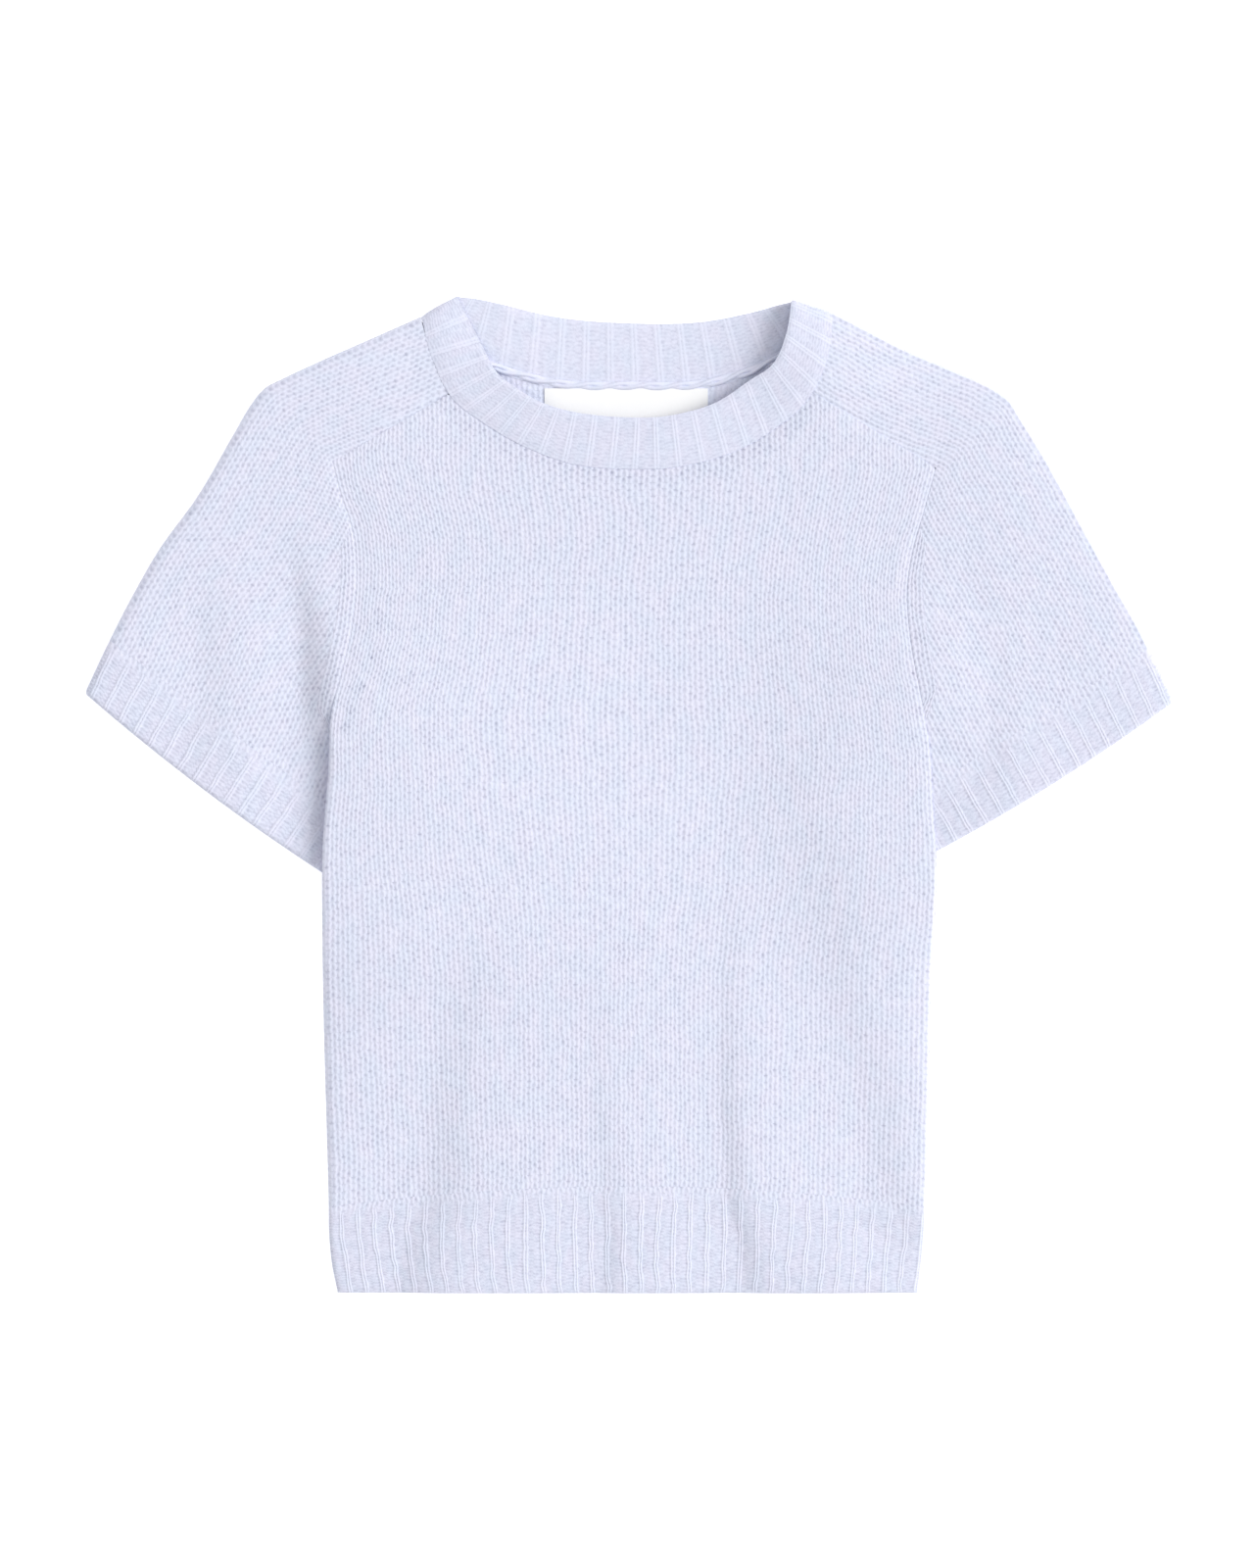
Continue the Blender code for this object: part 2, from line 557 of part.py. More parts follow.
def band_arc(table, front):
    """Rows of seam point, edge point and rib height along the front or the back of the neckband."""
    count = FRONT_NECK_RIBS if front else BACK_NECK_RIBS
    ribs, height = rib_stations(count)
    rows = curve(table, ribs)
    seam, edge, rise = rows[:, :2].copy(), rows[:, 2:4].copy(), rows[:, 4]
    for fold_rib in (0.0, float(count)):
        near = 1 - smooth(np.abs(ribs - fold_rib), 0.0, BAND_TURN_RIBS)
        at_fold = curve(table, fold_rib)[0]
        out = fold_outward(at_fold)
        seam -= near[:, None] * out * (BAND_WALL + BAND_TURN_SEAM) / 2
        edge -= near[:, None] * out * (BAND_WALL + BAND_TURN_SEAM + at_fold_rise(fold_rib, front)) / 2
    if front:
        low = WALL + upper_gap(seam[:, 0], seam[:, 1]) + BAND_WALL / 2 + SEAM
    else:
        low = np.full(len(ribs), BAND_WALL / 2)
        height = height * smooth(np.minimum(ribs, count - ribs), *HIDDEN_BACK_RIBS)
    return points(seam[:, 0], seam[:, 1], low), points(edge[:, 0], edge[:, 1], low + rise), height


def at_fold_rise(fold_rib, front):
    """How much further apart the band's two layers are at its free edge than at its seam, at a fold."""
    left = (fold_rib == 0.0) == front
    return NECK_FRONT[0 if left else -1][5]


def fold_outward(row):
    """The direction in which the neckband's fold faces."""
    run = row[2:4] - row[:2]
    out = np.array([-run[1], run[0]]) / np.linalg.norm(run)
    return out if out[1] > 0 else -out


def add_neckband(finish):
    front_seam, front_edge, front_height = band_arc(NECK_FRONT, True)
    back_seam, back_edge, back_height = band_arc(NECK_BACK, False)
    up = np.array([0.0, 0.0, 1.0])
    sections = []
    for seam, edge, height in zip(front_seam, front_edge, front_height):
        across = edge - seam
        normal = up - across * (across @ up) / (across @ across)
        normal /= np.linalg.norm(normal)
        sections.append(band_section(seam, edge, normal, RIB_RISE * height, 0.0))
    sections += fold_sections(front_seam[-1], front_edge[-1], back_seam[0], back_edge[0], NECK_FRONT[-1])
    for seam, edge, height in zip(back_seam, back_edge, back_height):
        sections.append(band_section(seam, edge, -up, 0.0, RIB_RISE * height))
    turn = fold_sections(front_seam[0], front_edge[0], back_seam[-1], back_edge[-1], NECK_FRONT[0])
    sections += turn[::-1]
    add_wall("neckband", *(np.array(grid) for grid in zip(*sections)), finish, ring=True)


def fold_sections(front_seam, front_edge, back_seam, back_edge, row):
    """Sections round one of the neckband's two folds, from its front to its back."""
    out = np.array([*fold_outward(np.array(row[1:])), 0.0])
    made = []
    for angle in TURN_ANGLES:
        way = out * np.cos(angle) + np.array([0.0, 0.0, np.sin(angle)])
        ends = []
        for front, back in ((front_seam, back_seam), (front_edge, back_edge)):
            half = (front[2] - back[2]) / 2
            middle = (front + back) / 2
            ends.append(middle + way * half)
        made.append(band_section(*ends, way, 0.0, 0.0))
    return made


def add_label(finish):
    wide, tall, thick = LABEL_SIZE
    mesh = bpy.data.meshes.new("label")
    bm = bmesh.new()
    bmesh.ops.create_cube(bm, size=1.0)
    bmesh.ops.scale(bm, vec=(wide * MM, tall * MM, thick * MM), verts=bm.verts)
    bm.to_mesh(mesh)
    bm.free()
    made = bpy.data.objects.new("label", mesh)
    x, top = LABEL_TOP
    made.location = (x * MM, (top - tall / 2) * MM, (WALL + SEAM + thick / 2) * MM)
    mesh.materials.append(finish)
    SHIRT.objects.link(made)


for leftover in list(bpy.data.objects):
    bpy.data.objects.remove(leftover, do_unlink=True)
SHIRT = bpy.data.collections.new("cashmere_t_shirt")
bpy.context.scene.collection.children.link(SHIRT)

knit = material("knit", KNIT_COLOUR)
ribbing = material("ribbing", RIB_COLOUR)
satin = material("label", LABEL_COLOUR)

add_front_panel(knit)
add_back_panel(knit)
add_sleeve("sleeve_left", -1, knit)
add_sleeve("sleeve_right", 1, knit)
add_hem_front(ribbing)
add_hem_back(ribbing)
add_cuff("cuff_left", -1, ribbing)
add_cuff("cuff_right", 1, ribbing)
add_neckband(ribbing)
add_label(satin)
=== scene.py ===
"""The looks of a knitted t-shirt with saddle shoulders that lies flat on its back.

Sizes are in millimetres, as in the tables of the part's source. Each piece is the shell of its solid, with
the knitted stitches and ribs raised on it and the plain side within. A grid of points follows the knitting:
its columns run along the wales and its rows along the courses, and where a seam cuts the knitting, the
points past the seam are brought back to it.
"""

import bmesh
import bpy
import numpy as np
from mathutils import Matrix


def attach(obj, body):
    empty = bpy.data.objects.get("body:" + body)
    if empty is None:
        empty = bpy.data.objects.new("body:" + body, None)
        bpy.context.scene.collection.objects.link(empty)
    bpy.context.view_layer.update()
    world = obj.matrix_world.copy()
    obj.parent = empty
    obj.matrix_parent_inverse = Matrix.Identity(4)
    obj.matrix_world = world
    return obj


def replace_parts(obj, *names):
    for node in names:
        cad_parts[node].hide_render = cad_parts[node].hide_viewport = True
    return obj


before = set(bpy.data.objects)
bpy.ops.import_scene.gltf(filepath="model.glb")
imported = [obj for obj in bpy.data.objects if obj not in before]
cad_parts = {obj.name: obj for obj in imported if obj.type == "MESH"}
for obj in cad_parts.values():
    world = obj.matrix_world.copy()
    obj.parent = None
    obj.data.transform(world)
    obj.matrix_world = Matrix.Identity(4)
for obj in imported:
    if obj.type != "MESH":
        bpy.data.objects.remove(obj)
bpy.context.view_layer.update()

MM = 0.001
UP = np.array([0.0, 0.0, 1.0])

# Cloth. Each edge: the share of the wall that is left there, and how far in it is full
WALL = 2.6
BAND_WALL = 3.0
SEAM = 0.3
LAYER_GAP = 0.8
OPEN_EDGE = (0.42, 3.2)
SEWN_EDGE = (0.93, 3.0)
ARMHOLE_EDGES = (((0.8, 24.0), (0.8, 8.0)), ((0.74, 8.0), (0.82, 30.0)))  # left, right: body, sleeve
BESIDE_EDGE = (0.8, 8.0)  # of the right side of the body, where the sleeve lies against it
BESIDE_FADE = (-20.0, 0.0)  # it fades away below the corner of the cuff
SNAP = 0.45  # a point this close to a cut edge is moved onto it
NOISE_KNOTS = 64  # after so many, the noise begins again
SHARP = 55.0  # degrees between two faces that meet in a crisp edge
UNEVEN = ((6.0, 0.35), (19.0, 0.55))  # over such distances the knitting strays this far
HEM_UNEVEN = 1.7  # and the hem so many times as far
STEP = 4  # the plain inside has every fourth row and column of the outside

# Stocking stitch
WALE = 5.9  # the width of one stitch
COURSE = 4.15  # its height
BODY_WALES = 62
BODY_ROWS = 3  # of the grid to a course
SLEEVE_ROWS = 4
STITCH_COLUMNS = 4  # and to a wale
TOP_ROUNDS = 12  # of nearing the point in which a wale meets the top edge
STITCH_RISE = 0.185
STITCH_LATTICE = 0.6  # how deep the holes are between the strands, against the strands' own height
STITCH_SLANT = 0.06  # how far each leg of a stitch leans, in wales
STITCH_LUCK = 0.8  # how much one stitch's height differs from the next
SEAM_STRIP = 12.0  # a strip of each sleeve beside the armhole, with its wales along the seam
SEAM_STRIP_COLUMNS = 8
SEAM_STRIP_Y = (168.0, 140.0)  # it widens from here to there
# Painted shade in the holes of the knitting, more than usual, or less below 0
NECK_HOLE_SHADE = (0.4, 4.0, 13.0)  # painted shade in the first courses under the neckband: how much, and full up to and none from
STRIP_HOLE_SHADE = 0.35
BACK_HOLE_SHADE = -0.5  # less painted shade on the back panel inside the neck, so it is lighter
BACK_HOLE_SHADE_Y = (200.0, 230.0)
SHAPING_HOLE_SHADE = (1.6, 2.2)  # painted shade where stitches were taken together: how much, and its reach
SHAPING = (  # x, y of the stitches that were taken together beside the armholes
    (-153.3, 111.6), (-152.7, 105.6), (-157.5, 84.6), (-163.5, 66.6), (-169.5, 51.6), (-172.5, 42.6),
    (171.0, 118.0), (172.5, 96.0), (174.5, 74.0), (177.0, 52.0),
)
FAN = (0.04, -0.2)  # how much narrower the stitches are in the middle: below, and wider on the chest
FAN_Y = (-120.0, 60.0)

# Ribbing, in shares of one rib: a wide plain column, then two narrow raised legs with a groove between them
RIB = (  # share, height
    (0.0, 0.26), (0.07, 0.34), (0.16, 0.4), (0.27, 0.42), (0.38, 0.42), (0.49, 0.4), (0.58, 0.34),
    (0.64, 0.26), (0.69, 0.55), (0.745, 0.96), (0.79, 0.7), (0.825, 0.36), (0.86, 0.7), (0.905, 0.96),
    (0.96, 0.55), (1.0, 0.26),
)
CHAIN_PHASE = 0.745  # the chain's yarn looks like this part of a rib
RIB_RISE = 0.34
RIB_COURSE = 2.15
RIB_ROWS = 3  # of the grid to a course
RIB_START = (0.5, 4.5)  # over these courses from a seam with stocking stitch, it turns into ribbing
RIB_END = (-1.5, 3.2)  # over this distance from a free edge it rises in full
RIB_STAGGER = (0.25, 0.5)  # up to this share of a rib the bars lie so much of a course higher
PURL_RISE = 0.06
PURL_UNDER = (0.1, 0.6)  # the bars show in full and no more where the ribbing is so high
RIB_HEIGHTS = (0.7, 0.08)  # in the material: of the ribbing and of what is under it
PURL_HEIGHT = 0.26
RIB_LUCK = 0.4  # how much a leg's height changes on its way
HEM_RIBS = 36
HEM_BACK_ROWS = 16
CUFF_RIBS = 17
PAST_FOLD = 0.02  # ribs to a column there, so that the lower layer is plain
RIB_FADE = (2.0, 8.0)
FRONT_NECK_RIBS = 25
BACK_NECK_RIBS = 16

# The body's left and right sides, from hem to shoulder
BODY = ((  # y, x
    (-304.5, -178.5), (-286.2, -182.1), (-268.8, -183.7), (-249.6, -184.0), (-197.4, -185.4),
    (-143.4, -186.9), (-83.4, -187.5), (-23.4, -186.9), (13.8, -183.9), (48.0, -182.1), (78.0, -174.9),
    (99.6, -170.1), (126.6, -167.1), (142.8, -167.1), (156.0, -168.3), (168.6, -171.3), (182.4, -176.1),
    (203.4, -181.5),
), (
    (-304.5, 176.7), (-280.8, 179.7), (-240.0, 182.1), (-197.4, 183.3), (-113.4, 185.1), (-34.2, 187.5),
    (-11.4, 185.7), (28.8, 183.3), (58.8, 178.5), (90.6, 172.5), (128.4, 170.1), (153.6, 174.3),
    (171.6, 179.7), (199.8, 187.5),
))
HEM_BOTTOM = -304.5
HEM_TOP_MIDDLE = -239.0
HEM_TOP_SIDE = -252.0

# The neckband, rib by rib: where it is sewn on, and its free edge
NECK_FRONT = (  # rib, seam x, seam y, edge x, edge y, rise of the edge over the seam
    (0.0, -128.1, 292.2, -105.9, 305.4, 0.2), (2.0, -120.9, 267.6, -91.0, 276.6, -1.0),
    (4.0, -108.9, 243.0, -81.3, 258.6, 0.2), (6.0, -88.5, 226.8, -66.9, 247.2, 1.0),
    (8.0, -65.7, 213.6, -51.3, 238.8, 1.6), (10.0, -37.5, 202.8, -31.5, 233.4, 2.2),
    (12.5, -1.5, 199.2, 0.9, 230.4, 2.6), (15.0, 32.7, 201.0, 28.5, 232.2, 3.2),
    (17.0, 61.5, 208.8, 52.5, 239.4, 3.4), (19.0, 85.5, 221.4, 72.9, 252.6, 3.2),
    (21.0, 107.7, 240.0, 87.9, 263.4, 2.8), (23.0, 120.3, 264.6, 95.7, 281.4, 2.4),
    (25.0, 125.1, 294.6, 99.3, 302.4, 2.0),
)
NECK_BACK = (  # rib, seam x, seam y, edge x, edge y, rise of the edge over the seam
    (0.0, 125.1, 294.6, 99.3, 302.4, 0.0), (2.6, 87.9, 267.6, 75.3, 295.2, 0.0),
    (4.6, 54.3, 255.6, 47.7, 289.8, 0.0), (8.0, 0.9, 252.6, -0.3, 288.6, 0.0),
    (11.4, -52.5, 255.6, -49.5, 293.2, 0.4), (13.4, -87.3, 266.4, -80.7, 300.6, 2.6),
    (16.0, -128.1, 292.2, -105.9, 305.4, 3.8),
)
FRONT_CORNER_RIB = (3.8, 21.5)
BACK_CORNER_RIB = (2.6, 13.4)
HIDDEN_BACK_RIBS = (1.2, 2.6)
TANGENT_STEP = 0.05

# Outer fold of each sleeve, from the neckband over the shoulder point to the tip of the cuff
FOLD = ((  # x, y
    (-128.1, 292.2), (-157.5, 279.2), (-187.5, 266.0), (-211.5, 254.8), (-223.5, 248.4), (-231.9, 238.0),
    (-241.5, 221.6), (-265.8, 180.2), (-287.1, 151.0), (-305.4, 119.2), (-320.7, 89.0), (-333.3, 62.0),
), (
    (125.1, 294.6), (142.5, 285.6), (168.3, 272.4), (195.9, 260.4), (221.7, 248.8), (232.2, 241.6),
    (240.9, 228.2), (251.4, 211.2), (284.7, 150.6), (297.6, 127.2), (310.2, 105.0), (333.3, 56.8),
))
SHOULDER_ROW = 4
CUFF_END = ((-188.1, -46.2), (186.3, -34.2))
CUFF_HEIGHT = 34.0
CUFF_SLANT = 2.0
CUFF_BOW = 3.6
SHOULDER_FAN = 6.0
SHOULDER_RUN = 90.0  # over which the courses turn from across a saddle to across its arm
NECK_BOW_RUN = 30.0  # over which a saddle's rows straighten out from the curve of the neck seam

# Each sleeve's underarm passes under the side of the body. Heights are from the corner of the cuff.
TUCK = (  # y, how far under the body the sleeve reaches
    (-10.5, 14.0), (16.7, 33.0), (41.0, 27.0), (66.0, 14.0), (92.0, 0.0),
)
LIFT_Y = (200.0, 92.0, -12.0, -105.0)  # the body rises between the first two, and sinks between the others
ARMPIT = (93.0, 103.0)  # above this the sleeve's inner edge shows
SINKING = ((66.0, 105.0), ARMPIT)  # and over this height the left and right sleeves sink under the body
BULK = ((6.5, 14.0), (36.0, 44.0))  # how far out the cloth under each armhole reaches, and half its slope
BULK_SLANT = 0.3  # how much further out it reaches for each mm up
BULK_FADE = (50.0, 24.0)  # on the left it fades over so much of the way down, and sooner near the body
BULK_UNDER = (-5.0, 0.0)  # and on the right it stays, up to the side of the body
BULK_BELOW = (0.45, 60.0, 103.0)  # but under the armpit it is that share of its height, over this run
LIFT = (10.0, 2 * WALL + LAYER_GAP + 0.5)  # left, right
DIP_RUN = ((4.0, 60.0), (-5.0, 0.0))  # over which the upper layer of each sleeve sinks beside the body
LIFT_PRESS = 0.8  # how much of the space between the layers it takes up
LIFT_CLEAR = 10.0  # the body is raised in full so far past the sleeve, and sinks over the run
LIFT_RUN = (210.0, 105.0)

# How the upper layer stands off the lower one
PUFF_TOP = 2.6
PUFF_BELLY = 5.0
PUFF_HEM = 5.4
PUFF_SIDE = 2.4
SIDE_RUN = 60.0
SWELLS = (  # beside the neck, and on the right sleeve: x, y, reach, height
    (112.0, 268.0, 48.0, 5.8), (-114.0, 262.0, 40.0, -2.0), (232.0, 5.0, 50.0, 3.0),
)
BELLY_Y = (120.0, -190.0)
HEM_PINCH = 14.0  # the swell of the hem starts so far below its seam
EDGE_ROUND = (9.0, 44.0)  # at the folds of the left and right sleeves
SIDE_ROUND = 26.0
CREASES = (  # how far the left and right slopes of each run, and y, x and depth from its lower end up
    (45.0, 22.0, ((-304.5, -146.0, 4.2), (-269.4, -139.5, 5.0), (-245.4, -132.5, 5.2), (-221.4, -127.5, 4.4),
                  (-191.4, -127.7, 3.4), (-161.4, -123.5, 2.8), (-113.4, -112.5, 1.8), (-65.0, -103.0, 0.8),
                  (-40.0, -99.0, 0.0))),
    (30.0, 9.0, ((-304.5, -19.5, 2.2), (-269.4, -16.5, 1.8), (-245.4, -18.9, 1.3), (-221.4, -18.9, 0.9),
                 (-191.4, -24.9, 0.8), (-161.4, -24.9, 0.4), (-125.0, -26.0, 0.0))),
    (40.0, 10.0, ((-304.5, 68.5, 2.6), (-269.4, 63.0, 3.0), (-245.4, 57.2, 2.9), (-221.4, 55.5, 2.7),
                 (-191.4, 53.2, 2.5), (-161.4, 53.0, 1.9), (-113.4, 53.6, 1.2), (-53.4, 52.5, 0.5),
                 (-20.0, 52.0, 0.0))),
    (50.0, 26.0, ((-304.5, 162.0, 0.4), (-285.0, 158.0, 1.8), (-269.4, 153.3, 3.6), (-245.4, 145.5, 4.2),
                  (-221.4, 140.3, 4.2), (-191.4, 137.1, 4.0), (-161.4, 128.3, 3.5), (-113.4, 114.9, 3.1),
                  (-53.4, 107.1, 2.7), (6.6, 93.3, 1.7), (45.0, 88.0, 0.0))),
    (24.0, 9.0, ((0.0, -193.0, 0.0), (30.0, -195.5, 1.2), (54.6, -198.3, 1.8), (78.6, -200.1, 2.1),
                 (102.6, -201.9, 2.2), (126.6, -206.0, 1.6), (150.0, -209.0, 0.8), (172.0, -212.0, 0.0))),
    (24.0, 13.0, ((5.0, -276.0, 0.0), (30.6, -271.5, 1.2), (54.6, -264.3, 1.2), (102.6, -265.5, 1.2),
                  (135.0, -262.0, 0.0))),
    (22.0, 12.0, ((-5.0, 211.0, 0.0), (18.6, 215.3, 1.2), (54.6, 219.6, 1.3), (78.6, 219.6, 1.6),
                  (102.6, 214.9, 1.1), (126.6, 209.1, 1.0), (150.0, 203.0, 0.0))),
)

# Folds
TURN = 0.5  # the radius of their inside
TURN_ANGLES = np.radians(np.linspace(75.0, -75.0, 10))
LOWER_COLUMNS = 16  # at least, on the lower layer

# Across the neckband, from its seam to its free edge
BAND_HEIGHT = 31.0
BAND_AT = (0.0, 0.2, 0.88, 0.93, 1.0)
BAND_SHARE = (0.62, 1.0, 1.0, 1.0, 0.6)
BAND_RELIEF = (0.2, 0.6, 0.6, 0.0, 0.0)
BAND_TURN = 1.4  # how far out the inside of its two folds reaches
BAND_TURN_RIBS = 1.4
BAND_SOFT = (1.6, 3.4)  # up to so many ribs from the left fold the front free edge lies on the back
BAND_SOFT_SHARE = 0.25  # of its thickness
BAND_SOFT_RUN = (0.4, 1.0)  # over this part of the way from its seam it gets thinner there
BAND_HOLE_SHADE = (0.0, -0.1)  # painted shade in its holes: its front and its back
BAND_END_HOLE_SHADE = (0.3, 3.0, 9.0)  # how much more painted shade at its folds, full up to and none from so many ribs
BACK_RELIEF = 0.5

# Two twisted strands along the back neck seam
CHAIN_RIBS = (1.0, 15.0)
CHAIN_AWAY = 2.4
CHAIN_WIDTH = 5.4
CHAIN_STRAND = 1.35  # the radius of each
CHAIN_PITCH = 38.0
CHAIN_SWING = 0.5  # how much it rises and sinks as it turns

# Label under the back neck seam
LABEL_SIZE = (100.0, 44.0, 0.7)
LABEL_TOP = (-2.0, 248.6)
LABEL_ROUND = 2.0

# The camera looks straight down on the middle of the photo's frame
VIEW_MIDDLE = (-1.5, 6.6)
VIEW_HEIGHT = 960.0
CAMERA_UP = 4000.0
SENSOR = 36.0

# The yarn, in linear light
YARN_TINTS = ((0.36, (0.723, 0.762, 0.9)), (0.64, (0.757, 0.762, 0.9)))  # the cool one and the warm one
YARN_PAINTED_SHADE = (0.26, 0.26, 0.225)  # painted shade: how much darker it is between its strands
YARN_HOLLOW = 1.6  # how soon that fades towards their tops
YARN_LUCK = (2.7, -0.5)  # how much that changes from place to place, and its least
YARN_FIBRES = (620.0, 3.0, 0.65)  # how fine they are, then their detail and roughness
YARN_FUZZ = 0.12  # how much they change its brightness
YARN_HAIR = 0.5  # and its height, against the strands
YARN_SURFACE = {"Roughness": 0.92, "Specular IOR Level": 0.2, "Sheen Weight": 0.2, "Sheen Roughness": 0.6}
YARN_BUMP = 0.0003  # the height in m of the strands that aren't raised in the mesh, and that on the neckband
BAND_BUMP = 0.00018
BAND_SHADE_SHARE = 0.75  # how much painted shade lies between the neckband's strands, against the usual
KNIT_YARN = ((0.22, 0.45, 130.0), 240.0, (0.55, 0.2))  # its jitter, speckle and streak
RIB_YARN = ((0.06, 1.0, 420.0), 400.0, (1.1, 0.12))

# The label and the floor
WHITE = (1.0, 1.0, 1.0, 1.0)
PAPER = (0.93, 0.93, 0.93, 1.0)
SATIN_THREADS = (2500.0, 0.3, 0.0001)  # how fine, how strong and how high
FLOOR = (12.0, -0.0002)  # its size and its height, in m

# The light: a key from the right, and a white sky
KEY_WAY = (57.0, 78.0)  # degrees from straight above, and then from +Y towards +X
KEY_STRENGTH = 2.24
KEY_SOFTNESS = 36.0  # degrees
SKY_STRENGTH = 0.72


def curve(table, at):
    """The table's columns after the first, on a smooth curve through its rows, at values of the first."""
    rows = np.array(table, float)
    key, values = rows[:, 0], rows[:, 1:]
    slopes = np.gradient(values, key, axis=0)
    at = np.clip(np.atleast_1d(at).astype(float), key[0], key[-1])
    left = np.clip(np.searchsorted(key, at, side="right") - 1, 0, len(key) - 2)
    run = (key[left + 1] - key[left])[:, None]
    t = (at - key[left])[:, None] / run
    return (
        (2 * t**3 - 3 * t**2 + 1) * values[left]
        + (t**3 - 2 * t**2 + t) * run * slopes[left]
        + (3 * t**2 - 2 * t**3) * values[left + 1]
        + (t**3 - t**2) * run * slopes[left + 1]
    )


def with_length(path):
    """A table of points with the length run along them as its first column."""
    path = np.array(path, float)
    steps = np.linalg.norm(np.diff(path, axis=0), axis=1)
    return np.column_stack([np.concatenate([[0.0], np.cumsum(steps)]), path])


def by_height(table, y):
    """The table's columns at these heights, each in the heights' own shape."""
    return curve(table, np.ravel(y)).T.reshape(-1, *np.shape(y))


def distance(x, y, line):
    """How far each point is from a polyline."""
    here = np.stack([x, y], axis=-1)
    best = np.full(here.shape[:-1], np.inf)
    for a, b in zip(np.array(line[:-1]), np.array(line[1:])):
        t = np.clip((here - a) @ (b - a) / ((b - a) @ (b - a)), 0.0, 1.0)
        best = np.minimum(best, np.linalg.norm(here - (a + t[..., None] * (b - a)), axis=-1))
    return best


def hill(x, y, x0, y0, reach):
    """1 at a place, and less the further from it."""
    return np.exp(-((x - x0) ** 2 + (y - y0) ** 2) / reach**2)


def smooth(value, start, end):
    """0 up to the start, 1 from the end and a soft step between them. The end may be the lower one."""
    t = np.clip((value - start) / (end - start), 0.0, 1.0)
    return t * t * (3 - 2 * t)


def of_side(side, left, right):
    return left if side < 0 else right


def body_edge(side, y):
    return by_height(of_side(side, *BODY), y)[0]


def inward(side, x, y):
    """How far a point is from that side of the body, towards its middle."""
    return (body_edge(side, y) - x) * side


def over_corner(side, y):
    """Height above the corner of that side's cuff."""
    return y - of_side(side, *CUFF_END)[1]


def tuck(side, y):
    """How far under the body that sleeve reaches at this height."""
    return by_height(TUCK, over_corner(side, y))[0]


def under_arm(side, y):
    """0 well above the armpit and 1 below it."""
    return smooth(over_corner(side, y), *LIFT_Y[:2])


def below_armpit(side, y):
    return 1 - smooth(over_corner(side, y), *of_side(side, *SINKING))


def lift_shares(x, y):
    """How much of its left lift and of its right one the body has, where a sleeve passes under it."""
    shares = []
    for side in (-1, 1):
        covered = tuck(side, y) + LIFT_CLEAR
        near = 1 - smooth(inward(side, x, y), covered, covered + of_side(side, *LIFT_RUN))
        sinking = smooth(over_corner(side, y), *LIFT_Y[2:])
        shares.append(under_arm(side, y) * (1 - sinking) * near)
    return shares


def lift(x, y):
    """How far the body lies above the surface there."""
    left, right = lift_shares(x, y)
    return LIFT[0] * left + LIFT[1] * right


def creases(x, y):
    """The depth of the soft troughs, whose right slopes are the steeper ones."""
    total = 0.0
    for left, right, table in CREASES:
        middle, depth = by_height(table, y)
        away = x - middle
        total = total + depth * np.exp(-((away / np.where(away < 0, left, right)) ** 2))
    return total


def puff(x, y):
    """How far the upper layer would stand off the lower one, away from the folded sides."""
    full = PUFF_TOP + (PUFF_BELLY - PUFF_TOP) * smooth(y, *BELLY_Y)
    full = full + (PUFF_HEM - full) * smooth(y, HEM_TOP_MIDDLE - HEM_PINCH, HEM_BOTTOM)
    from_side = np.minimum(np.abs(inward(-1, x, y)), np.abs(inward(1, x, y)))
    return PUFF_SIDE + (full - PUFF_SIDE) * smooth(from_side, 0.0, SIDE_RUN) - creases(x, y)


def roundness(away, run=SIDE_ROUND):
    """0 at an edge and 1 from the run onwards, as a quarter circle."""
    near = np.clip(1 - away / run, 0.0, 1.0)
    return np.sqrt(1 - near**2)


def upper_gap(x, y):
    """The space between the layers on the sleeves and shoulders, and on the body up to its sides."""
    swell, share = 0.0, 1.0
    for x0, y0, reach, height in SWELLS:
        swell = swell + height * hill(x, y, x0, y0, reach)
    for fold, run in zip(FOLD, EDGE_ROUND):
        share = share * roundness(distance(x, y, fold), run)
    return LAYER_GAP + np.maximum(puff(x, y) * share + swell, 0.0)


def body_gap(x, y):
    """The same on the body, closing at its side seams below the armholes."""
    gap = upper_gap(x, y) - SEAM
    for side in (-1, 1):
        away = np.maximum(inward(side, x, y), 0.0)
        gap = gap * (1 - below_armpit(side, y) * (1 - roundness(away)))
    return SEAM + gap * (1 - LIFT_PRESS * np.minimum(sum(lift_shares(x, y)), 1.0))


def bulk_left(outward, height):
    """How much of the left sleeve's rise is left beside and under its armpit."""
    near = 1 - smooth(outward, 0.0, BULK_FADE[1])
    late = smooth(height, ARMPIT[0] - BULK_FADE[0], SINKING[0][1])
    return late + near * (smooth(height, *SINKING[0]) - late)


def bulk_right(outward, height):
    """The same for the right sleeve, which stays up beside the body before it goes under it."""
    below = BULK_BELOW[0]
    above = smooth(height, *ARMPIT)
    share = below + (1 - below) * smooth(height, *BULK_BELOW[1:])
    return share * (above + (1 - above) * smooth(outward, *BULK_UNDER))


def sleeve_gap(x, y):
    """The same on a sleeve, which rises with the armhole seam and then goes under the body."""
    gap = upper_gap(x, y) - LAYER_GAP
    bulk = raised = 0.0
    for side in (-1, 1):
        outward, height = -inward(side, x, y), over_corner(side, y)
        beside = (1 - smooth(outward, *of_side(side, *DIP_RUN))) * (x * side > 0)
        gap = gap * (1 - below_armpit(side, y) * beside)
        reach, run = of_side(side, *BULK)
        reach = reach + BULK_SLANT * (height - ARMPIT[0])
        over = (1 - smooth(outward, reach - run, reach + run)) * (x * side > 0)
        here = over * under_arm(side, y) * of_side(side, bulk_left, bulk_right)(outward, height)
        bulk = bulk + here
        raised = raised + here * of_side(side, *LIFT)
    return SEAM + (LAYER_GAP + gap - SEAM) * (1 - LIFT_PRESS * bulk) + raised


def points(*coordinates):
    return np.stack(np.broadcast_arrays(*coordinates), axis=-1).astype(float)


